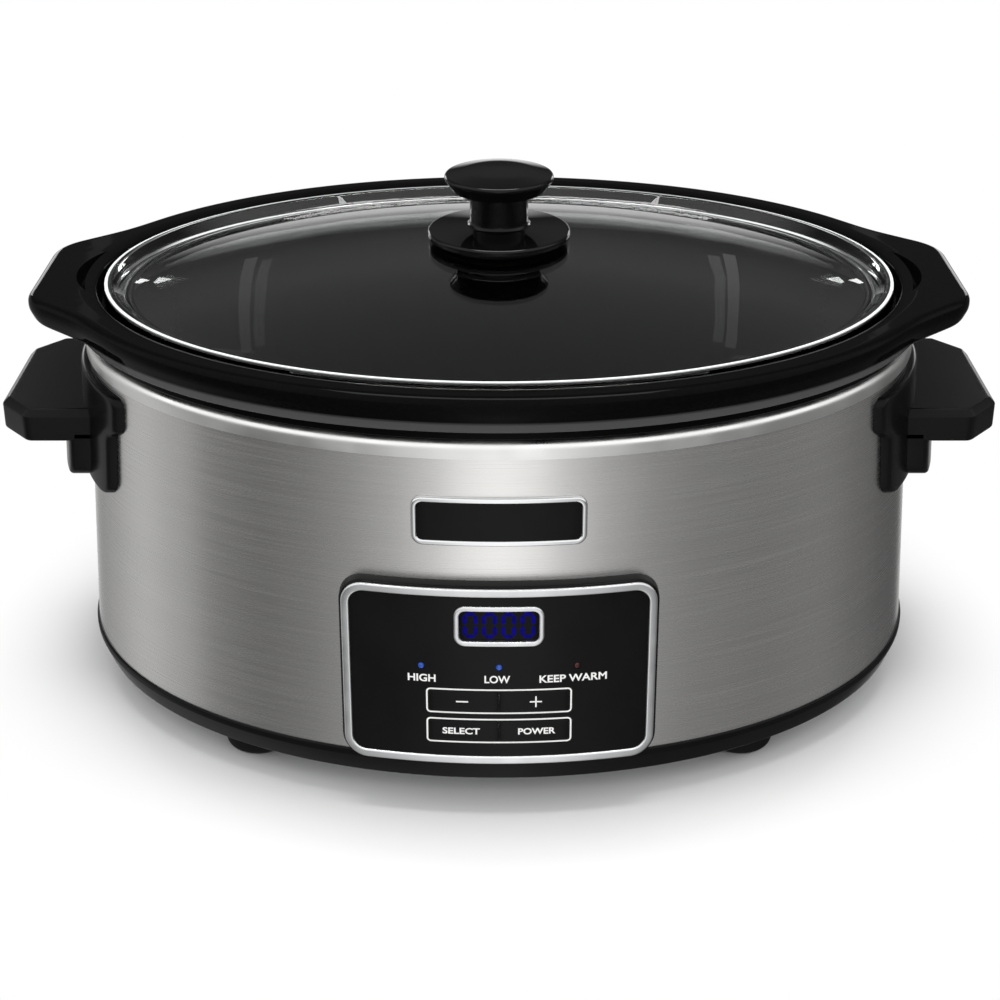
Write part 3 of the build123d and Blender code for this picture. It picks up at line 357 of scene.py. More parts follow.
def plate(outline, section, place, fills=8):
    """A closed plate: rows are the outline drawn in by each inset and set at each outward
    distance of the section; both faces run in to the middle as shrunken copies of their edge."""
    inset, out = np.asarray(section, float).T
    rows = outline[None] - inset[:, None, None] * outward(outline)[None]
    middle = outline.mean(0)
    shrink = np.linspace(0, 1, fills + 1)[1:-1, None, None]
    flat = np.concatenate([middle + shrink * (rows[:1] - middle), rows,
                           middle + shrink[::-1] * (rows[-1:] - middle)])
    depth = np.concatenate([np.full(fills - 1, out[0]), out, np.full(fills - 1, out[-1])])
    lift = np.broadcast_to(depth[:, None], flat.shape[:2])
    poles = [place(*middle, level) for level in (out[0], out[-1])]
    return surface(place(flat[..., 0], flat[..., 1], lift), poles=poles)


def hoop(outline, section, place):
    """A closed band of material: a closed (inset, outward) section carried along an outline."""
    inset, out = np.asarray(section, float).T
    flat = outline[None] - inset[:, None, None] * outward(outline)[None]
    lift = np.broadcast_to(out[:, None], flat.shape[:2])
    return surface(place(flat[..., 0], flat[..., 1], lift), loop=True)


def cushion_edge(high, low, edge, steps=4):
    """Section of a plate from its front face, round an arc of radius `edge`, down its side."""
    turn = np.linspace(0, np.pi / 2, steps + 1)
    arc = np.stack([edge * (1 - np.sin(turn)), high - edge * (1 - np.cos(turn))], -1)
    return np.vstack([arc, [(0, low)]])


def half_round(width, low, high, roll):
    """Closed section of a raised line: flat back, crowned front with rolled shoulders."""
    shape = [(0, low), (0, high), (width, high), (width, low)]
    return rounded(shape, (0, roll, roll, 0), closed=True, steps=5)


# ---------------------------------------------------------------- material tools
def add_node(tree, kind, settings=(), values=(), links=()):
    """Adds one node: settings are its properties, values its sockets, links (socket, output)."""
    made = tree.nodes.new(kind)
    for name, value in dict(settings).items():
        setattr(made, name, value)
    for name, value in dict(values).items():
        made.inputs[name].default_value = value
    for name, output in dict(links).items():
        tree.links.new(output, made.inputs[name])
    return made


def new_material(name):
    """An empty node material and its Object coordinates."""
    material = bpy.data.materials.new(name)
    material.use_nodes = True
    tree = material.node_tree
    tree.nodes.clear()
    return material, tree, add_node(tree, "ShaderNodeTexCoord").outputs["Object"]


def shade(rgba, factor):
    """A colour made lighter or darker."""
    return (*[min(1.0, part * factor) for part in rgba[:3]], 1.0)


def grain(size, stretch=(1, 1, 1), detail=3):
    """A noise `size` metres across, divided by stretch along each axis, for `finish`."""
    return size, stretch, detail


def finish(name, values, colour=None, rough=None, bump=None, painted=("Base Color",)):
    """A material whose colour, roughness and relief each follow a grain.

    colour is (grain, dark, light) and fills the sockets named in painted, rough is (grain, low,
    high) and bump is (grain, depth in metres).  A grain's middle, 0.3 to 0.7, covers the range."""
    material, tree, coordinates = new_material(name)
    noises = {}
    for size, stretch, detail in dict.fromkeys(part[0] for part in (colour, rough, bump) if part):
        mapped = add_node(
            tree, "ShaderNodeMapping", values={"Scale": [1 / (size * part) for part in stretch]},
            links={"Vector": coordinates})
        noises[size, stretch, detail] = add_node(
            tree, "ShaderNodeTexNoise", values={"Scale": 1.0, "Detail": detail, "Roughness": 0.55},
            links={"Vector": mapped.outputs["Vector"]}).outputs["Fac"]

    ranged = {}
    for use, part in (("Factor", colour and (colour[0], 0, 1)), ("Roughness", rough)):
        if part:
            noise, low, high = part
            ends = {"From Min": 0.3, "From Max": 0.7, "To Min": low, "To Max": high}
            ranged[use] = add_node(tree, "ShaderNodeMapRange", values=ends,
                                   links={"Value": noises[noise]}).outputs["Result"]
    links = {}
    if colour:
        mixed = add_node(tree, "ShaderNodeMix", {"data_type": "RGBA"}, {"A": colour[1], "B": colour[2]},
                         {"Factor": ranged["Factor"]})
        links = {socket: mixed.outputs["Result"] for socket in painted}
    if rough:
        links["Roughness"] = ranged["Roughness"]
    if bump:
        links["Normal"] = add_node(
            tree, "ShaderNodeBump", values={"Strength": 1.0, "Distance": bump[1]},
            links={"Height": noises[bump[0]]}).outputs["Normal"]
    shader = add_node(tree, "ShaderNodeBsdfPrincipled", values=values, links=links)
    add_node(tree, "ShaderNodeOutputMaterial", links={"Surface": shader.outputs["BSDF"]})
    return material


# ---------------------------------------------------------------- finishes
def brushed_stainless(rgba):
    """Ferritic stainless sheet, brushed round the band: fine level lines, and lights that
    smear upright across them.  Lines are drawn 0.5 mm apart, coarser than the real 0.1 mm."""
    lines = grain(0.5 * MM, (120, 120, 1), 5)
    patches = grain(40 * MM, (2, 2, 0.4))
    material = finish(
        "brushed_stainless_430", {"Metallic": 1.0, "Anisotropic": 0.8, "Anisotropic Rotation": 0.25},
        (patches, shade(rgba, 0.98), shade(rgba, 1.02)), (lines, 0.22, 0.3), (lines, 0.002 * MM))
    tree = material.node_tree
    tangent = add_node(tree, "ShaderNodeTangent", {"direction_type": "RADIAL", "axis": "Z"})
    tree.links.new(tangent.outputs["Tangent"], tree.nodes["Principled BSDF"].inputs["Tangent"])
    return material


def polished_metal(name, rgba, roughness, wave):
    """Polished or chromed metal: a mirror with the faint swell that buffing leaves."""
    swell = grain(wave, detail=2)
    return finish(name, {"Metallic": 1.0, "Base Color": rgba},
                  rough=(swell, roughness, roughness * 1.6), bump=(swell, 0.01 * MM))


def glazed_stoneware(rgba, lip, lip_low, lip_top):
    """Black glaze fired on stoneware: a deep wet gloss with a slow ripple where the glaze ran. On the rim's
    lower lip the colour is a painted reflection: a dark grey band that stands in for what the lip reflects."""
    ripple = grain(14 * MM, detail=2)
    pinholes = grain(1.2 * MM, detail=2)
    material = finish(
        "black_glazed_stoneware", {"IOR": 1.5, "Specular IOR Level": 0.03},
        (pinholes, rgba, shade(rgba, 1.5)), (ripple, 0.03, 0.06), (ripple, 0.05 * MM))
    tree = material.node_tree
    shader = tree.nodes["Principled BSDF"]
    glaze = shader.inputs["Base Color"].links[0].from_socket
    # painted reflection: the lip colour is mixed into the glaze by height, between lip_low and lip_top
    place = add_node(tree, "ShaderNodeSeparateXYZ",
                     links={"Vector": tree.nodes["Texture Coordinate"].outputs["Object"]})
    height = add_node(tree, "ShaderNodeMapRange", values={"From Min": lip_low, "From Max": lip_top},
                      links={"Value": place.outputs["Z"]})
    ramp = add_node(tree, "ShaderNodeValToRGB", links={"Fac": height.outputs["Result"]})
    stops = ramp.color_ramp.elements
    while len(stops) < 4:
        stops.new(0.5)
    for stop, (position, level) in zip(stops, ((0.0, 0), (0.12, 1), (0.7, 1), (1.0, 0))):
        stop.position = position
        stop.color = (level, level, level, 1)
    painted_lip_reflection = add_node(tree, "ShaderNodeMix", {"data_type": "RGBA"}, {"B": lip},
                    {"Factor": ramp.outputs["Color"], "A": glaze})
    tree.links.new(painted_lip_reflection.outputs["Result"], shader.inputs["Base Color"])
    return material


def clear_glass(rgba):
    """Pressed soda-lime glass: clear, smooth, with the slight waviness of a pressed lid."""
    swell = grain(30 * MM, detail=1)
    return finish("pressed_clear_glass", {"Base Color": rgba, "IOR": 1.5, "Transmission Weight": 1.0},
                  rough=(swell, 0.0, 0.012), bump=(swell, 0.03 * MM))


def edge_highlight_finish(rgba):
    """Painted highlight: a grey-white, matt ring that stands in for the light that the lid's glass edge
    catches, where the rest of the lid is clear.
    """
    speckle = grain(0.4 * MM)
    return finish("painted_lid_edge_highlight", {"IOR": 1.5}, (speckle, shade(rgba, 0.8), rgba), (speckle, 0.2, 0.4),
                  (speckle, 0.01 * MM))


def moulded_plastic(name, rgba, roughness, texture=0.35 * MM, depth=0.008 * MM, gloss=0.1):
    """Injection-moulded or pressed plastic: an even dark body with the mould's own fine skin."""
    skin = grain(texture)
    flow = grain(22 * MM, detail=2)
    return finish(name, {"IOR": 1.5, "Specular IOR Level": gloss},
                  (flow, shade(rgba, 0.85), shade(rgba, 1.15)),
                  (skin, roughness * 0.85, roughness * 1.15), (skin, depth))


def lit_segments(rgba):
    """Lit display segments: blue light behind the window, uneven along each bar."""
    return finish(
        "lit_display_segments",
        {"Base Color": linear("000027"), "Roughness": 0.3, "Specular IOR Level": 0.04,
         "Emission Strength": 0.5},
        (grain(1.6 * MM), shade(rgba, 0.35), rgba), painted=("Emission Color",))


def lamp_lens(name, rgba, strength):
    """Small moulded lens over a lamp: a lit core in a clear dome."""
    return finish(name, {"Roughness": 0.15, "Emission Strength": strength},
                  (grain(0.8 * MM), shade(rgba, 0.5), rgba), painted=("Base Color", "Emission Color"))


def printed_ink(rgba):
    """Screen-printed ink: flat, a little uneven where the mesh let it through."""
    mesh = grain(0.3 * MM)
    return finish("screen_printed_ink", {"Roughness": 0.5}, (mesh, shade(rgba, 0.9), rgba),
                  bump=(mesh, 0.004 * MM))


def rolled_sheet(name, rgba, roughness, metallic=1.0):
    """Mill-finish sheet: dull metal with cloudy patches and rolling lines along X."""
    clouds = grain(12 * MM)
    return finish(name, {"Metallic": metallic}, (clouds, shade(rgba, 0.8), rgba),
                  (clouds, roughness, roughness * 1.3), (grain(0.8 * MM, (60, 1, 1), 4), 0.01 * MM))


def frame_finishes():
    """Finish of every CAD node that stays, by the record's material slot."""
    return {
        "bare_sheet": rolled_sheet("galvanised_sheet", linear("8E9092"), 0.42),
        "well_sheet": rolled_sheet("aluminised_sheet", linear("A9A9A5"), 0.38),
        "zinc_screw": rolled_sheet("zinc_plated_screw", linear("A8A9A6"), 0.3),
        "heater_wrap": rolled_sheet("mica_band_heater", linear("8A7F6E"), 0.6, metallic=0.2),
        "circuit_board": moulded_plastic("solder_mask_board", linear("14432A"), 0.35),
        "foot_rubber": moulded_plastic("moulded_rubber", linear("141414"), 0.7, texture=0.6 * MM),
        "black_plastic": moulded_plastic("heat_resistant_nylon", linear("161616"), 0.42),
        "gloss_phenolic": moulded_plastic("fibre_washer", linear("1B1B1B"), 0.6),
    }


# ---------------------------------------------------------------- operators: the steel body
class COOKER_OT_steel_band(bpy.types.Operator):
    """Wrapped steel band: a sheet that narrows evenly upwards"""

    bl_idname = "cooker.steel_band"
    bl_label = "Steel band"

    def execute(self, context):
        sizes, colours = context.scene.cooker_sizes, context.scene.cooker_colours
        height = np.linspace(BAND_LOW, band_max.z, 24)
        outer = np.stack([band_half(height) - BAND_HALF, height], -1)
        inner = outer[::-1] - (sizes.sheet, 0)
        section = np.vstack([outer, inner])
        half = BAND_HALF + section[:, 0]
        angle = np.linspace(0, 2 * np.pi, sizes.turns, endpoint=False)
        x = half[:, None] * np.cos(angle)
        y = (half - OVAL_STEP)[:, None] * np.sin(angle)
        z = np.broadcast_to(section[:, 1:], x.shape)
        band = surface(np.stack([x, y, z], -1), loop=True)
        add_piece("steel_band", band, "base", brushed_stainless(colours.steel),
                  ["outer_band"])
        return {"FINISHED"}


class COOKER_OT_rim_bead(bpy.types.Operator):
    """Rolled bead that caps the band and the well"""

    bl_idname = "cooker.rim_bead"
    bl_label = "Rim bead"

    def execute(self, context):
        sizes, colours = context.scene.cooker_sizes, context.scene.cooker_colours
        radius = sizes.bead_radius
        middle = bead_max.z - radius
        turn = np.linspace(0, np.pi, 17)[:, None]
        arc = np.concatenate([np.cos(turn), np.sin(turn)], 1)
        outer = np.vstack([[(radius, BAND_TOP)], (0, middle) + radius * arc, [(-radius, BAND_TOP)]])
        inner = outer * (1, 1)
        inner[:, 0] *= (radius - sizes.sheet) / radius
        inner[1:-1, 1] = middle + (outer[1:-1, 1] - middle) * (radius - sizes.sheet) / radius
        shape = round_oval(bead_max.x - radius, np.vstack([outer, inner[::-1]]), sizes.turns)
        metal = polished_metal("polished_stainless", colours.bead, 0.26, 18 * MM)
        add_piece("rim_bead", shape, "base", metal, ["top_bead"])
        return {"FINISHED"}


class COOKER_OT_base_ring(bpy.types.Operator):
    """Moulded plastic ring that the steel band stands on"""

    bl_idname = "cooker.base_ring"
    bl_label = "Base ring"

    def execute(self, context):
        sizes, colours = context.scene.cooker_sizes, context.scene.cooker_colours
        proud = ring_max.x - BAND_HALF
        tuck, wall, flange = 2.1 * MM, 2.6 * MM, 12 * MM
        flange_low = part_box("bottom_cover")[1].z + SEAT
        section = [
            (-sizes.sheet - SEAT, BAND_LOW), (proud, BAND_LOW), (proud, BAND_LOW - wall),
            (-tuck, ring_min.z), (-tuck - wall, ring_min.z), (-tuck - wall, flange_low),
            (-tuck - flange, flange_low), (-tuck - flange, flange_low + wall),
            (-sizes.sheet - SEAT - wall, flange_low + wall),
            (-sizes.sheet - SEAT - wall, ring_max.z), (-sizes.sheet - SEAT, ring_max.z)]
        radii = np.array([0, 0.8, 1.6, 1, 1, 0.5, 0.5, 0.5, 0.5, 0.5, 0.5]) * MM
        shape = round_oval(BAND_HALF, rounded(section, radii, closed=True, steps=4), sizes.turns)
        plastic = moulded_plastic("moulded_black_nylon", colours.ring, 0.34)
        add_piece("base_ring_moulding", shape, "base", plastic, ["base_ring"])
        return {"FINISHED"}


# ---------------------------------------------------------------- operators: crock and lid
def lug_reach(y, half):
    """How far a lug stands out in X beyond the rim at each y.

    The lug's plan is a flat edge with rounded corners and slanting flanks.  Where a flank meets
    the rim the two are blended by the soft maximum (d + sqrt(d^2 + e^2)) / 2 of their distance d."""
    sizes = bpy.context.scene.cooker_sizes
    rim = half * np.sqrt(np.clip(1 - (y / (half - OVAL_STEP)) ** 2, 0, 1))
    root_x = half * math.sqrt(1 - (sizes.lug_root / (half - OVAL_STEP)) ** 2)
    slope = (crock_max.x - root_x) / (sizes.lug_root - sizes.lug_tip)
    tail = 40 * MM
    plan = rounded(
        [(0, crock_max.x), (sizes.lug_tip, crock_max.x),
         (sizes.lug_root + tail, root_x - slope * tail)], 22 * MM, steps=16)
    apart = np.interp(np.abs(y), plan[:, 0], plan[:, 1]) - rim
    blend = 3 * MM
    soft = (apart + np.sqrt(apart ** 2 + blend ** 2)) / 2
    near = np.clip((sizes.lug_root + 14 * MM - np.abs(y)) / (14 * MM), 0, 1)
    return soft * near ** 2 * (3 - 2 * near)


def crock_shape(sizes):
    """Crock as one closed grid of rows round the oval.

    Rows follow the section from the foot, up the outer wall, round the rim and down inside.
    Rows of the rim's face also slide out in X by a share of the lug's reach, so the same rows
    make the lug's underside, edge and top; the crescent behind it is five more rows, whose
    width and depth fall to nothing at its tips."""
    half = crock_max.y + OVAL_STEP
    top, low = crock_max.z, crock_min.z
    ledge = top - sizes.ledge_depth
    seat = bead_max.z + 0.3 * MM
    wall = bead_max.x - 2 * sizes.bead_radius - 3.4 * MM - half
    over_bead = bead_max.x - sizes.bead_radius - half + 2.5 * MM
    draft, floor = 9 * MM, 9 * MM
    lean = draft / (ledge - low)
    tuck, roll = 3.6 * MM, sizes.rim_roll
    lug_low = top - 1.3 * MM - sizes.lug_thick
    hollow = low + 1.6 * MM
    points, normals = oval_frame(half, sizes.turns)
    reach = lug_reach(points[:, 1], half)
    side = np.sign(points[:, 0])

    outside = rounded(
        [(-62 * MM, hollow), (-56 * MM, hollow), (-54 * MM, low),
         (wall - draft, low), (wall - lean * (ledge - seat), seat),
         (over_bead, seat), (over_bead, RIM_LOW), (-tuck, RIM_LOW),
         (-tuck * 0.66, lug_low)],
        np.array([0, 1, 1, 20, 1.5, 1, 1, 1.8, 0]) * MM, steps=6)
    face_z = np.array([0, 0.05, 0.2, 0.6, 1.2, 2.0, 3.5, 5.0, 6.3]) * MM + lug_low
    face_out = np.interp(face_z, [RIM_LOW, top - 5 * MM], [-tuck, 0])
    face_share = np.array([0.8, 0.87, 0.92, 0.962, 0.985, 0.996, 1, 1, 1])
    turn = np.linspace(0, np.pi / 2, 8)[1:]
    crown = np.stack([-roll * (1 - np.cos(turn)), top - roll * (1 - np.sin(turn))], -1)
    across = np.linspace(1, 0, 8)
    lug_share = np.concatenate([face_share, np.ones(len(crown)), across[1:]])
    groove_out = -8 * MM
    top_out = np.linspace(-roll, groove_out, 8)[1:]
    rows_out = np.concatenate([face_out, crown[:, 0], top_out])
    rows_z = np.concatenate([face_z, crown[:, 1], np.full(7, top)])
    inside = rounded(
        [(groove_out, top), (-sizes.rim_width, top - 1.3 * MM), (-sizes.rim_width, ledge),
         (wall - sizes.crock_wall, ledge),
         (wall - sizes.crock_wall - lean * (ledge - low - floor), low + floor),
         (-62 * MM, low + floor)],
        np.array([0, 2, 1.6, 3, 13, 0]) * MM, steps=7)

    def rows(out, height, share):
        """Rows of points: oval + outward x normal, slid in X by share x reach."""
        flat = points[None] + out[..., None] * normals[None]
        flat[..., 0] += share * side * reach
        return np.concatenate([flat, np.broadcast_to(height, out.shape)[..., None]], -1)

    def column(values):
        return np.broadcast_to(np.asarray(values)[:, None], (len(values), sizes.turns))

    crescent = np.clip(1 - (points[:, 1] / sizes.groove_half) ** 2, 0, 1)
    crescent = np.where(np.abs(points[:, 1]) < sizes.groove_half, crescent, 0)
    step = np.linspace(1, 0, 9)
    dip = np.sin(np.pi * step) ** 0.6
    body_rows = rows(column(rows_out), column(rows_z), column(lug_share))
    # the lug's rows end at the crescent's outer edge, not at the rim's crown
    lug_rows = column(np.linspace(0, 1, 8)[1:]) * crescent * sizes.groove_width
    body_rows[-7:, :, 0] += side * lug_rows
    groove_reach = groove_out + step[:, None] * crescent * sizes.groove_width
    groove_z = top - dip[:, None] * np.sqrt(crescent) * sizes.groove_depth
    groove = rows(groove_reach, groove_z, np.zeros((9, sizes.turns)))
    wall_rows, inner_rows = (
        rows(column(part[:, 0]), column(part[:, 1]), column(0 * part[:, 0])) for part in (outside, inside))

    def disc(edge, count):
        """Rows that shrink an oval row to the axis."""
        shrink = np.linspace(0, 1, count + 1)[1:-1, None, None]
        return edge[None] * np.concatenate([shrink, shrink, np.ones_like(shrink)], -1)

    below = disc(wall_rows[0], 6)
    above = disc(inner_rows[-1], 6)[::-1]
    grid = np.concatenate([below, wall_rows, body_rows, groove, inner_rows[1:], above])
    return surface(grid, poles=((0, 0, hollow), (0, 0, low + floor)))


class COOKER_OT_crock(bpy.types.Operator):
    """Glazed stoneware crock with its rolled rim and lifting lugs"""

    bl_idname = "cooker.crock"
    bl_label = "Crock"

    def execute(self, context):
        sizes, colours = context.scene.cooker_sizes, context.scene.cooker_colours
        # the lip colour from RIM_LOW to 5 mm above it is a painted reflection on the rim's lower lip
        add_piece("glazed_crock", crock_shape(sizes), "crock_body",
                  glazed_stoneware(colours.glaze, colours.lip, RIM_LOW, RIM_LOW + 5 * MM), ["crock"],
                  sharp=50)
        return {"FINISHED"}


class COOKER_OT_lid(bpy.types.Operator):
    """Domed glass lid with a rolled edge and a trough"""

    bl_idname = "cooker.lid"
    bl_label = "Glass lid"

    def execute(self, context):
        sizes, colours = context.scene.cooker_sizes, context.scene.cooker_colours
        half, low = lid_max.x, lid_min.z
        edge_top = low + sizes.lid_edge
        trough = half - sizes.lid_trough
        rise = lid_max.z - low - sizes.lid_wall
        run = np.linspace(0.04, 0.97, 34)
        under = np.stack([run * (trough - sizes.lid_wall), low + rise * (1 - run ** 2)], -1)
        over = np.stack([run[::-1] * trough, low + sizes.lid_wall + rise * (1 - run[::-1] ** 2)], -1)
        rim = rounded(
            [under[-1], (trough - sizes.lid_wall + 1 * MM, low), (half, low), (half, edge_top),
             (half - 3.6 * MM, edge_top), (trough, low + sizes.lid_wall), over[0]],
            np.array([0, 6, 1.4, 1.8, 1.6, 5, 0]) * MM, steps=8)
        profile = np.vstack([under[:-1], rim, over[1:]])
        squash = lid_max.y / lid_max.x
        glass = turned(profile, squash, sizes.turns)
        add_piece("domed_glass_lid", glass, "lid_body", clear_glass(colours.glass),
                  ["lid_glass"], sharp=60)
        # painted highlight: a grey-white ring laid round the lid's edge stands in for the light the glass
        # edge catches
        line = rounded(
            [(half - 1.9 * MM, edge_top - 0.5 * MM), (half - 1.9 * MM, edge_top + 0.06 * MM),
             (half - 0.5 * MM, edge_top - 0.1 * MM), (half - 0.7 * MM, edge_top - 0.7 * MM)],
            np.array([0.1, 0.2, 0.4, 0.1]) * MM, closed=True, steps=3)
        ground = turned(line, squash, sizes.turns, pole_low=False, pole_high=False)
        add_piece("lid_edge_painted_highlight", ground, "lid_body", edge_highlight_finish(colours.ground))
        return {"FINISHED"}


class COOKER_OT_knob(bpy.types.Operator):
    """Turned knob: flange, neck and a cap that widens upwards to a nearly flat top"""

    bl_idname = "cooker.knob"
    bl_label = "Lid knob"

    def execute(self, context):
        colours = context.scene.cooker_colours
        low, top = knob_min.z, knob_max.z
        flange, neck, foot, cap = knob_max.x, 11.3 * MM, 17.6 * MM, 22 * MM
        cap_low, shoulder = top - 9 * MM, top - 3 * MM
        profile = rounded(
            [(2 * MM, low), (flange, low), (flange, low + 3 * MM), (neck, low + 5 * MM),
             (neck, cap_low), (foot, cap_low), (cap, shoulder), (cap * 0.55, top - 0.9 * MM),
             (0.5 * MM, top)],
            np.array([0, 1, 1.2, 2, 1.5, 1.2, 1.3, 30, 0]) * MM, steps=8)
        phenolic = moulded_plastic(
            "pressed_phenolic", colours.phenolic, 0.07, texture=8 * MM, depth=0.01 * MM, gloss=0.2)
        add_piece("turned_knob", turned(profile, 1, 128), "lid_body", phenolic,
                  ["lid_knob"], sharp=50)
        return {"FINISHED"}


# ---------------------------------------------------------------- operators: handles
class COOKER_OT_handles(bpy.types.Operator):
    """Side grips on their brackets, and the pads that wrap the band's ends"""

    bl_idname = "cooker.handles"
    bl_label = "Side handles"

    def execute(self, context):
        colours = context.scene.cooker_colours
        plastic = moulded_plastic("moulded_grip_plastic", colours.grip, 0.22)
        half = grip_max.y
        reach, top = grip_max.x, grip_max.z
        thick, bracket_low = 13 * MM, grip_min.z
        bracket_proud, sunk, root = 10.5 * MM, PAD_THICK - 0.5 * MM, 140 * MM
        corner_x, corner_y = 11.5 * MM, 13.5 * MM
        plan = rounded(
            [(root, -half), (reach - corner_x, -half), (reach, -half + corner_y),
             (reach, half - corner_y), (reach - corner_x, half), (root, half)],
            np.array([0, 4, 4, 4, 4, 0]) * MM, closed=True, steps=8)
        plan = even(plan, 1 * MM)
        edge = rounded(
            [(4 * MM, top), (2.6 * MM, top), (0, top - 2.6 * MM), (0, top - thick), (3 * MM, top - thick)],
            np.array([0, 0.9, 0.9, 1.6, 0]) * MM, steps=4)
        for name, side in (("left", -1), ("right", 1)):
            end = on_end(side)

            def grip_place(x, y, z):
                """Flat grip whose inner end stops on the pad."""
                seat = np.abs(end(y, z, sunk)[..., 0])
                return np.stack([side * np.maximum(x, seat), y + 0 * x, z + 0 * x], -1)

            grip = plate(plan, edge, grip_place, fills=12)
            low, high = bracket_low, top - 2.6 * MM
            shape = box_outline(2 * half, high - low, 7 * MM, (0, (low + high) / 2))
            section = cushion_edge(bracket_proud, sunk, 1.5 * MM)
            bracket = plate(shape, section, end, fills=10)
            add_piece(f"side_grip_{name}", joined([grip, bracket]), "base", plastic,
                      [f"handle_{name}"])
            add_piece(f"grip_pad_{name}", self.pad(end, bracket_low, top), "base",
                      plastic, [f"handle_pad_{name}"])
        return {"FINISHED"}

    def pad(self, end, low, grip_top):
        """Pad with a wider tab above the grip: one stepped outline bent onto the band's end."""
        narrow, wide = 57 * MM, pad_max.y
        low, top, step = low + SEAT, pad_max.z, grip_top - 3 * MM
        outline = rounded(
            [(-narrow, low), (narrow, low), (narrow, step), (wide, step + 4 * MM), (wide, top),
             (-wide, top), (-wide, step + 4 * MM), (-narrow, step)],
            np.array([7, 7, 4, 3, 4, 4, 3, 4]) * MM, closed=True, steps=8)
        return plate(even(outline, 1 * MM), cushion_edge(PAD_THICK, SEAT, 1.2 * MM), end, fills=14)


# ---------------------------------------------------------------- operators: control panel
PANEL_FACE = 5 * MM
KEYS = ("key_minus", "key_plus", "key_select", "key_power")
LAMPS = ("light_high", "light_low", "light_warm")
CAP_SHARE = 0.72  # height of a capital as a share of the font's size


def middle_of(node):
    """Across and up position of a CAD node's middle."""
    low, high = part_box(node)
    return (low.x + high.x) / 2, (low.z + high.z) / 2


def size_of(node):
    """Width and height of a CAD node."""
    low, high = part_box(node)
    return high.x - low.x, high.z - low.z


def chrome_line(name, node, corner, spacing, section, metal):
    """A raised line that follows the edge of a CAD frame node, bent onto the band's front."""
    ring = box_outline(*size_of(node), corner, middle_of(node), spacing)
    add_piece(name, hoop(ring, section, on_front), "base", metal, [node], sharp=50)


class COOKER_OT_panel(bpy.types.Operator):
    """Curved gloss panel with openings for the display, keys and lamps, and its chrome bezel"""

    bl_idname = "cooker.panel"
    bl_label = "Control panel"

    def execute(self, context):
        sizes, colours = context.scene.cooker_sizes, context.scene.cooker_colours
        gloss = moulded_plastic("gloss_black_abs", colours.panel, 0.12, texture=6 * MM, depth=0.01 * MM)
        add_piece("curved_panel", self.sheet(), "base", gloss, ["panel_housing"], sharp=30)
        chrome = polished_metal("chrome_plated_trim", colours.chrome, 0.26, 9 * MM)
        section = half_round(sizes.bezel_width, PANEL_FACE - 0.8 * MM, PANEL_FACE + 0.8 * MM, 0.7 * MM)
        chrome_line("chrome_bezel", "panel_bezel", 8.2 * MM, 0.8 * MM, section, chrome)
        section = half_round(sizes.display_frame, PANEL_FACE - 2 * MM, PANEL_FACE + 0.8 * MM, 0.6 * MM)
        chrome_line("display_surround", "display_frame", 4 * MM, 0.5 * MM, section, chrome)
        return {"FINISHED"}

    def sheet(self):
        """Flat sheet filled between its outlines, given its thickness, cut into narrow strips
        and bent onto the band's front by on_front."""
        width, height = panel_max.x - panel_min.x, panel_max.z - BAND_LOW
        middle = (0, (panel_max.z + BAND_LOW) / 2)
        rings = [box_outline(width, height, 9 * MM, middle, 1.2 * MM)]
        rings.append(box_outline(*[part - 0.2 * MM for part in size_of("display_frame")], 3.9 * MM,
                                 middle_of("display_frame"), 0.8 * MM))
        for key in KEYS:
            rings.append(box_outline(*[part + 0.12 * MM for part in size_of(key)], 1.26 * MM,
                                     middle_of(key), 0.5 * MM))
        for lamp in LAMPS:
            rings.append(box_outline(*[part + 0.1 * MM for part in size_of(lamp)],
                                     0.99 * size_of(lamp)[0] / 2, middle_of(lamp), 0.3 * MM))
        sheet = bmesh.new()
        outer = []
        for ring in rings:
            corners = [sheet.verts.new((x, z, PANEL_FACE)) for x, z in ring]
            edges = [sheet.edges.new((a, b)) for a, b in zip(corners, corners[1:] + corners[:1])]
            outer = outer or edges
        bmesh.ops.triangle_fill(sheet, edges=sheet.edges, use_beauty=True)
        grown = bmesh.ops.extrude_face_region(sheet, geom=sheet.faces[:])
        back = [part for part in grown["geom"] if isinstance(part, bmesh.types.BMVert)]
        bmesh.ops.translate(sheet, verts=back, vec=(0, 0, SEAT - PANEL_FACE))
        bmesh.ops.recalc_face_normals(sheet, faces=sheet.faces)
        bmesh.ops.bevel(sheet, geom=[e for e in outer if e.is_valid], offset=1.1 * MM, segments=4,
                        affect="EDGES", profile=0.5)
        for cut in np.arange(-56, 57, 4) * MM:
            geometry = sheet.verts[:] + sheet.edges[:] + sheet.faces[:]
            bmesh.ops.bisect_plane(sheet, geom=geometry, plane_co=(cut, 0, 0), plane_no=(1, 0, 0))
        flat = bpy.data.meshes.new("flat_panel")
        sheet.to_mesh(flat)
        sheet.free()
        points, faces = taken(flat)
        # the fill lists them in an order that changes from run to run, so they are sorted
        order = np.lexsort(points.round(7).T)
        rank = np.argsort(order)
        faces = sorted((rank[face].tolist() for face in faces), key=sorted)
        return on_front(*points[order].T), faces


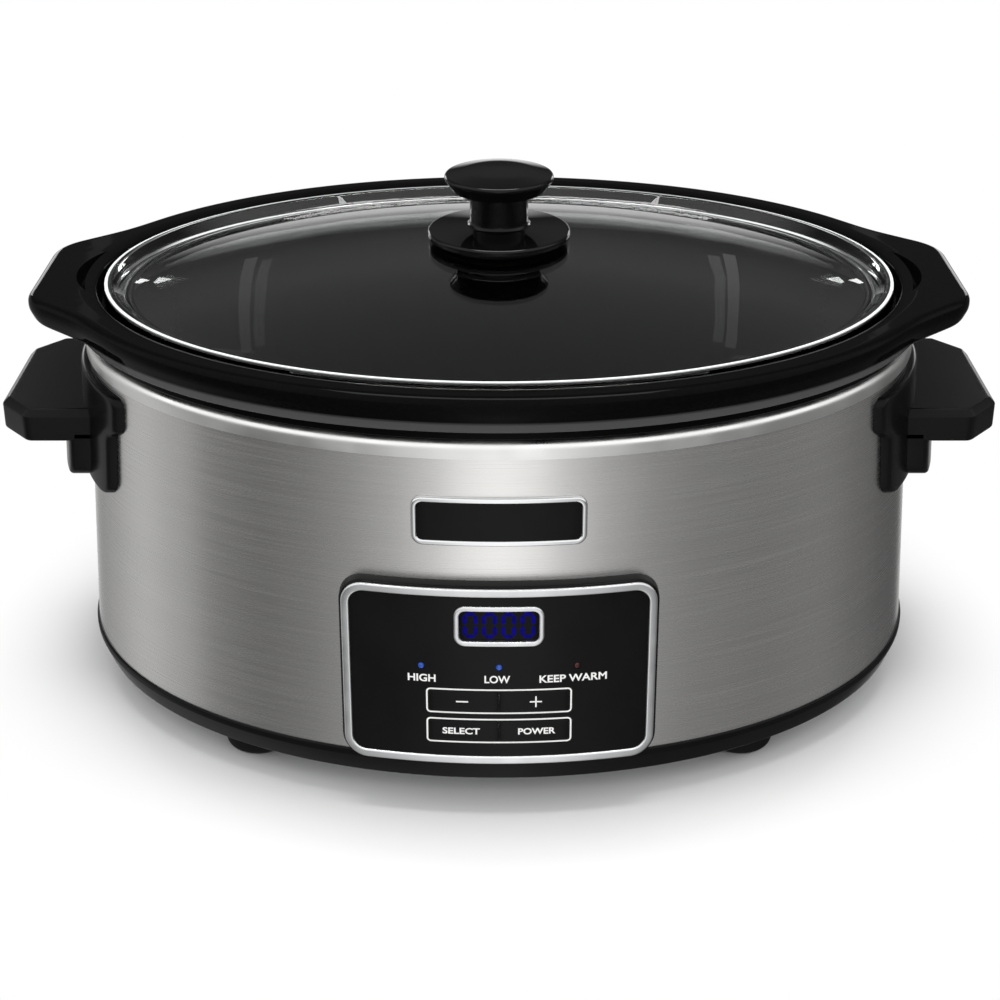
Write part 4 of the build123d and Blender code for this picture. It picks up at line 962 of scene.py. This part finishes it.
class COOKER_OT_display(bpy.types.Operator):
    """Smoked window with four lit digits behind it"""

    bl_idname = "cooker.display"
    bl_label = "Display"

    def execute(self, context):
        sizes, colours = context.scene.cooker_sizes, context.scene.cooker_colours
        width, height = [part - 2 * sizes.display_frame - 0.1 * MM for part in size_of("display_frame")]
        middle = middle_of("display_frame")
        outline = box_outline(width, height, 2.2 * MM, middle, 0.6 * MM)
        section = cushion_edge(PANEL_FACE - 0.6 * MM, PANEL_FACE - 2.4 * MM, 0.2 * MM)
        # smoked acrylic: near black and mirror smooth, so the digits seem to float in it
        smoked = moulded_plastic("smoked_acrylic", linear("050507"), 0.06, texture=5 * MM, depth=0.002 * MM)
        add_piece("display_pane", plate(outline, section, on_front), "base", smoked,
                  ["display_window"])
        bars = [self.zero(middle[0] + shift * MM, middle[1]) for shift in (-10.2, -3.4, 3.4, 10.2)]
        add_piece("display_digits", joined(bars), "base", lit_segments(colours.digits))
        return {"FINISHED"}

    def zero(self, x, z):
        """A seven-segment zero: six bars with slanted ends that just miss each other."""
        sizes = bpy.context.scene.cooker_sizes
        high, wide, bar = sizes.digit_height, 5.3 * MM, 1.5 * MM
        gap = 0.2 * MM
        across = np.array([(-1, 0), (-0.6, -1), (0.6, -1), (1, 0), (0.6, 1), (-0.6, 1)])
        level = across * ((wide - bar) / 2 - gap, bar / 2)
        upright = across[:, ::-1][::-1] * (bar / 2, (high - bar) / 4 - gap)
        centres = [(level, 0, (high - bar) / 2), (level, 0, -(high - bar) / 2)]
        for side in (-1, 1):
            for part in (-1, 1):
                centres.append((upright, side * (wide - bar) / 2, part * (high - bar) / 4))
        out = PANEL_FACE - 0.6 * MM
        section = [(0.15 * MM, out + 0.06 * MM), (0, out + 0.03 * MM), (0, out - 0.1 * MM)]
        parts = []
        for bar_outline, dx, dz in centres:
            ring = even(bar_outline + (dx, dz), 0.25 * MM)
            parts.append(plate(ring + (x, z), section, on_front, fills=2))
        return joined(parts)


class COOKER_OT_keys(bpy.types.Operator):
    """Four key caps that press in, each with its printed sign or word"""

    bl_idname = "cooker.keys"
    bl_label = "Keys"

    def execute(self, context):
        colours, words = context.scene.cooker_colours, context.scene.cooker_words
        cap = moulded_plastic("gloss_key_cap", colours.panel, 0.14, texture=5 * MM, depth=0.01 * MM)
        ink = printed_ink(colours.ink)
        for key in KEYS:
            width, height = size_of(key)
            outline = box_outline(width, height, 1.2 * MM, middle_of(key), 0.5 * MM)
            section = cushion_edge(PANEL_FACE + 0.3 * MM, PANEL_FACE - 3.2 * MM, 0.25 * MM, steps=3)
            add_piece(f"{key}_cap", plate(outline, section, on_front, fills=6), f"{key}_body",
                      cap, [key])
        out, bar, stroke_long = PANEL_FACE + 0.32 * MM, 0.55 * MM, 4.4 * MM
        word_tall, word_wide = 2.5 * MM, 13.5 * MM
        for key in ("key_minus", "key_plus"):
            x, z = middle_of(key)
            x += math.copysign(0.5 * MM, x)
            strokes = [box_outline(stroke_long, bar, 0.1 * MM, (x, z), 0.2 * MM)]
            if key == "key_plus":
                strokes.append(box_outline(bar, stroke_long, 0.1 * MM, (x, z), 0.2 * MM))
            section = [(0, out + 0.03 * MM), (0, out - 0.06 * MM)]
            sign = joined([plate(stroke, section, on_front, fills=2) for stroke in strokes])
            add_piece(f"{key}_sign", sign, f"{key}_body", ink)
        for key, word, shift in (("key_select", words.select, -0.9), ("key_power", words.power, 0.9)):
            x, z = middle_of(key)
            label = lettering(word, word_tall, word_wide, (x + shift * MM, z), out)
            add_piece(f"{key}_word", label, f"{key}_body", ink, sharp=40)
        return {"FINISHED"}


def lettering(word, height, width, middle, out, bold=0.1 * MM):
    """A word as a solid of small depth and a given width, centred on `middle` and bent onto the front."""
    curve = bpy.data.curves.new("word", "FONT")
    curve.body = word
    curve.size = height / CAP_SHARE
    curve.align_x = "CENTER"
    curve.bevel_depth = bold
    curve.bevel_resolution = 0
    curve.resolution_u = 4
    holder = bpy.data.objects.new("word", curve)
    bpy.context.collection.objects.link(holder)
    made = bpy.data.meshes.new_from_object(holder.evaluated_get(bpy.context.evaluated_depsgraph_get()))
    points, faces = taken(made)
    bpy.data.objects.remove(holder)
    bpy.data.curves.remove(curve)
    low, high = points.min(0), points.max(0)
    across, up, depth = ((points - (low + high) / 2) * (width / (high - low)[0], 1, 0.3)).T
    return on_front(across + middle[0], up + middle[1], depth + out), faces


class COOKER_OT_prints(bpy.types.Operator):
    """Printed outlines round the key rows, the lamps' words and the lamps"""

    bl_idname = "cooker.prints"
    bl_label = "Prints and lamps"

    def execute(self, context):
        sizes, colours = context.scene.cooker_sizes, context.scene.cooker_colours
        words = context.scene.cooker_words
        ink = printed_ink(colours.ink)
        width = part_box("key_plus")[1].x * 2
        line = sizes.line_width
        hoops = []
        for key in ("key_minus", "key_select"):
            height = size_of(key)[1]
            grow = 2 * (0.35 * MM + line)
            outline = box_outline(width + grow, height + grow, 1.6 * MM, (0, middle_of(key)[1]), 0.4 * MM)
            out = PANEL_FACE + 0.02 * MM
            section = [(0, out - 0.05 * MM), (0, out), (line, out), (line, out - 0.05 * MM)]
            hoops.append(hoop(outline, section, on_front))
        add_piece("key_row_outlines", joined(hoops), "base", ink)
        word_tall, drop = 2.9 * MM, 4.7 * MM
        labels = ((words.high, 10, 0.2), (words.low, 9.2, -0.6), (words.warm, 24.2, -1.3))
        for lamp, (word, width, shift) in zip(LAMPS, labels):
            x, z = middle_of(lamp)
            label = lettering(word, word_tall, width * MM, (x + shift * MM, z - drop), out)
            add_piece(f"{lamp}_word", label, "base", ink, sharp=40)
        lit = lamp_lens("lit_lamp_lens", colours.lamp_lit, 0.7)
        # painted glow: the unlit keep-warm lens still emits, at strength 0.15, a faint glow that no lamp
        # behind it gives
        unlit_painted_glow = lamp_lens("unlit_lamp_lens", colours.lamp_off, 0.15)
        for lamp in LAMPS:
            radius = size_of(lamp)[0] / 2
            outline = box_outline(2 * radius, 2 * radius, 0.99 * radius, middle_of(lamp), 0.25 * MM)
            section = cushion_edge(PANEL_FACE + 0.3 * MM, PANEL_FACE - 3 * MM, 0.6 * MM, steps=5)
            add_piece(f"{lamp}_lens", plate(outline, section, on_front, fills=4), "base",
                      unlit_painted_glow if lamp == "light_warm" else lit, [lamp])
        return {"FINISHED"}


class COOKER_OT_badge(bpy.types.Operator):
    """Bare badge: chrome frame round a smooth black plate"""

    bl_idname = "cooker.badge"
    bl_label = "Badge"

    def execute(self, context):
        sizes, colours = context.scene.cooker_sizes, context.scene.cooker_colours
        chrome = polished_metal("chrome_plated_badge", colours.chrome, 0.1, 6 * MM)
        section = half_round(sizes.badge_frame, SEAT, 1.6 * MM, 0.8 * MM)
        chrome_line("badge_surround", "badge_frame", 4 * MM, 0.5 * MM, section, chrome)
        width, height = size_of("badge_frame")
        inner = 2 * sizes.badge_frame - 0.2 * MM
        outline = box_outline(width - inner, height - inner, 2.8 * MM, middle_of("badge_frame"), 0.6 * MM)
        black = moulded_plastic("black_lacquered_plate", colours.panel, 0.2, texture=0.5 * MM)
        add_piece("badge_face", plate(outline, cushion_edge(1.2 * MM, SEAT, 0.2 * MM), on_front),
                  "base", black, ["badge_plate"])
        return {"FINISHED"}


class COOKER_OT_frame_finishes(bpy.types.Operator):
    """Finishes of the CAD pieces that stay: feet, screws, cover, well, heater and boards"""

    bl_idname = "cooker.frame_finishes"
    bl_label = "Frame finishes"

    def execute(self, context):
        finishes = frame_finishes()
        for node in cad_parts.values():
            if node.hide_render:
                continue
            for place in node.material_slots:
                kind = place.material.name.split(".")[0] if place.material else "black_plastic"
                place.material = finishes.get(kind, finishes["black_plastic"])
        return {"FINISHED"}


# ---------------------------------------------------------------- operators: stage
class COOKER_OT_stage(bpy.types.Operator):
    """Floor, camera, softbox and the studio walls round the object"""

    bl_idname = "cooker.stage"
    bl_label = "Stage"

    def execute(self, context):
        scene, studio = context.scene, context.scene.cooker_studio
        scene.view_settings.view_transform = "Standard"
        camera = bpy.data.objects.new("camera", bpy.data.cameras.new("camera"))
        camera.location = (0, -studio.camera_back, studio.camera_up)
        camera.rotation_euler = (math.pi / 2 - studio.camera_tilt, 0, 0)
        camera.data.lens = studio.lens
        camera.data.sensor_width = 36
        camera.data.shift_x = 0.001
        scene.collection.objects.link(camera)
        scene.camera = camera
        self.floor(scene)
        self.lights(scene, studio)
        self.world(scene, studio)
        return {"FINISHED"}

    def floor(self, scene):
        """White paper floor near the object, which fades to plain white farther off for the camera;
        glossy pieces see the walls in its place."""
        mesh = bpy.data.meshes.new("floor")
        size, near, away = 6.0, 0.16, 0.22
        corners = [(size * x, size * y, 0) for x, y in ((-1, -1), (1, -1), (1, 1), (-1, 1))]
        mesh.from_pydata(corners, [], [(0, 1, 2, 3)])
        floor = bpy.data.objects.new("floor", mesh)
        scene.collection.objects.link(floor)
        material, tree, coordinates = new_material("matt_white_floor")
        path = add_node(tree, "ShaderNodeLightPath")
        paper = add_node(tree, "ShaderNodeBsdfDiffuse", values={"Color": (0.75, 0.75, 0.75, 1)})
        apart = add_node(tree, "ShaderNodeVectorMath", {"operation": "LENGTH"}, links={"Vector": coordinates})
        far = add_node(tree, "ShaderNodeMapRange", values={"From Min": near, "From Max": away},
                       links={"Value": apart.outputs["Value"]})
        white = add_node(tree, "ShaderNodeEmission")
        through = add_node(tree, "ShaderNodeBsdfTransparent")
        faded = add_node(tree, "ShaderNodeMixShader", links={
            "Fac": far.outputs["Result"], 1: paper.outputs["BSDF"], 2: white.outputs["Emission"]})
        seen = add_node(tree, "ShaderNodeMixShader", links={
            "Fac": path.outputs["Is Camera Ray"], 1: paper.outputs["BSDF"], 2: faded.outputs["Shader"]})
        mixed = add_node(tree, "ShaderNodeMixShader", links={
            "Fac": path.outputs["Is Glossy Ray"], 1: seen.outputs["Shader"], 2: through.outputs["BSDF"]})
        add_node(tree, "ShaderNodeOutputMaterial", links={"Surface": mixed.outputs["Shader"]})
        mesh.materials.append(material)

    def lights(self, scene, studio):
        """A softbox overhead, a little behind the object, a low box behind each shoulder for the
        glaze's highlights, and two faint strips that streak the lid.  Each is stated by the
        middles of its lower and upper edge, and faces the object."""
        aim = Vector((0, 0, 0.1))
        back, deep = studio.top_back, 0.25 * studio.top_width
        boxes = (
            ("top_box", (0, back - deep, 1.6), (0, back + deep, 1.6), studio.top_width, studio.top_watts),
            ("back_left", (-0.9, 1.5, 0.2), (-0.9, 1.5, 0.6), 0.5, studio.back_watts),
            ("back_right", (0.9, 1.5, 0.2), (0.9, 1.5, 0.6), 0.5, studio.back_watts),
            ("strip_left", (-0.54, 1.87, 0.71), (-0.68, 1.29, 1.57), 0.028, studio.strip_watts),
            ("strip_right", (0.50, 1.87, 0.71), (0.62, 1.29, 1.57), 0.028, 1.6 * studio.strip_watts),
        )
        for name, foot, head, width, watts in boxes:
            foot, head = Vector(foot), Vector(head)
            lamp = bpy.data.lights.new(name, "AREA")
            lamp.shape = "RECTANGLE"
            lamp.size = width
            lamp.size_y = (head - foot).length
            lamp.energy = watts
            place = (foot + head) / 2
            up = (head - foot).normalized()
            side = up.cross(place - aim).normalized()
            box = bpy.data.objects.new(name, lamp)
            box.location = place
            box.rotation_euler = Matrix((side, up, side.cross(up))).transposed().to_euler()
            scene.collection.objects.link(box)

    def world(self, scene, studio):
        """Studio walls by compass direction, in degrees from the front: bright ahead, grey at the
        sides and pale behind, with a bright hood above the front and sides and, above the back,
        grey that dims towards the horizon.  The camera sees white."""
        walls = (
            (-180, 0.75), (-160, 0.7), (-148, 0.3), (-140, 0.25), (-130, 0.31),
            (-101, 0.46), (-84, 0.34), (-69, 0.15), (-56, 0.11), (-45, 0.14), (-35, 0.21), (-25, 0.33),
            (-15, 0.55), (-7, 0.88), (0, 1.0), (7, 0.88), (15, 0.55), (25, 0.33), (35, 0.21), (46, 0.16),
            (62, 0.14), (85, 0.16), (106, 0.12), (125, 0.09), (145, 0.08), (160, 0.7), (180, 0.75))
        scene.world = bpy.data.worlds.new("studio")
        scene.world.use_nodes = True
        tree = scene.world.node_tree
        tree.nodes.clear()
        towards = add_node(tree, "ShaderNodeTexCoord").outputs["Generated"]
        parts = add_node(tree, "ShaderNodeSeparateXYZ", links={"Vector": towards})
        ahead = add_node(tree, "ShaderNodeMath", {"operation": "MULTIPLY"}, values={1: -1.0},
                         links={0: parts.outputs["Y"]})
        turn = add_node(tree, "ShaderNodeMath", {"operation": "ARCTAN2"},
                        links={0: parts.outputs["X"], 1: ahead.outputs["Value"]})
        unit = add_node(tree, "ShaderNodeMapRange", values={"From Min": -math.pi, "From Max": math.pi},
                        links={"Value": turn.outputs["Value"]})
        ramp = add_node(tree, "ShaderNodeValToRGB", links={"Fac": unit.outputs["Result"]})
        ramp.color_ramp.interpolation = "EASE"
        while len(ramp.color_ramp.elements) < len(walls):
            ramp.color_ramp.elements.new(0.5)
        for element, (degrees, level) in zip(ramp.color_ramp.elements, walls):
            element.position = degrees / 360 + 0.5
            element.color = (level, level, level, 1)
        height = add_node(tree, "ShaderNodeVectorMath", {"operation": "DOT_PRODUCT"},
                          values={1: (0, 0.35, 1)}, links={0: towards})

        spans = (
            ("over", height.outputs["Value"], 0.33, 0.47, 0.0, 1.0),
            ("ceiling", parts.outputs["Z"], 0.1, 0.46, 0.015, 0.14),
            ("above", parts.outputs["Z"], 0.05, 0.3, 0.0, 1.0),
            ("before", parts.outputs["Y"], 0.45, 0.15, 0.0, 1.0))
        levels = {}
        for name, value, *ends in spans:
            ends = dict(zip(("From Min", "From Max", "To Min", "To Max"), ends))
            levels[name] = add_node(
                tree, "ShaderNodeMapRange", values=ends, links={"Value": value}).outputs["Result"]
        room = add_node(tree, "ShaderNodeMix", {"data_type": "RGBA"}, links={
            "Factor": levels["over"], "A": ramp.outputs["Color"], "B": levels["ceiling"]})
        hood = add_node(tree, "ShaderNodeMath", {"operation": "MULTIPLY"}, links={
            0: levels["above"], 1: levels["before"]})
        hooded = add_node(tree, "ShaderNodeMix", {"data_type": "RGBA"}, {"B": (0.95, 0.95, 0.95, 1)},
                          {"Factor": hood.outputs["Value"], "A": room.outputs["Result"]})
        lit = add_node(tree, "ShaderNodeBackground", values={"Strength": studio.walls},
                       links={"Color": hooded.outputs["Result"]})
        white = add_node(tree, "ShaderNodeBackground", values={"Color": (1, 1, 1, 1), "Strength": 1.0})
        path = add_node(tree, "ShaderNodeLightPath")
        mixed = add_node(tree, "ShaderNodeMixShader", links={
            "Fac": path.outputs["Is Camera Ray"], 1: lit.outputs["Background"],
            2: white.outputs["Background"]})
        add_node(tree, "ShaderNodeOutputWorld", links={"Surface": mixed.outputs["Shader"]})


# ---------------------------------------------------------------- panel and registration
OPERATORS = (
    COOKER_OT_stage, COOKER_OT_steel_band, COOKER_OT_rim_bead, COOKER_OT_base_ring, COOKER_OT_crock,
    COOKER_OT_lid, COOKER_OT_knob, COOKER_OT_handles, COOKER_OT_panel, COOKER_OT_display,
    COOKER_OT_keys, COOKER_OT_prints, COOKER_OT_badge, COOKER_OT_frame_finishes,
)
GROUPS = {
    "cooker_sizes": CookerSizes, "cooker_colours": CookerColours,
    "cooker_studio": StudioSettings, "cooker_words": CookerWords,
}


class COOKER_PT_sidebar(bpy.types.Panel):
    """Lists the operators in the order that builds the whole object"""

    bl_idname = "COOKER_PT_sidebar"
    bl_label = "Slow cooker"
    bl_space_type = "VIEW_3D"
    bl_region_type = "UI"
    bl_category = "Slow cooker"

    def draw(self, context):
        for operator in OPERATORS:
            self.layout.operator(operator.bl_idname)
        for group, kind in GROUPS.items():
            values = getattr(context.scene, group)
            box = self.layout.box()
            for name in kind.__annotations__:
                box.prop(values, name)


def register():
    for kind in (*GROUPS.values(), *OPERATORS, COOKER_PT_sidebar):
        bpy.utils.register_class(kind)
    for name, kind in GROUPS.items():
        setattr(bpy.types.Scene, name, PointerProperty(type=kind))


def unregister():
    for name in GROUPS:
        delattr(bpy.types.Scene, name)
    for kind in reversed((*GROUPS.values(), *OPERATORS, COOKER_PT_sidebar)):
        bpy.utils.unregister_class(kind)


def main():
    """Registers the add-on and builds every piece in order."""
    register()
    for operator in OPERATORS:
        group, name = operator.bl_idname.split(".")
        getattr(getattr(bpy.ops, group), name)()


if __name__ == "__main__":
    main()
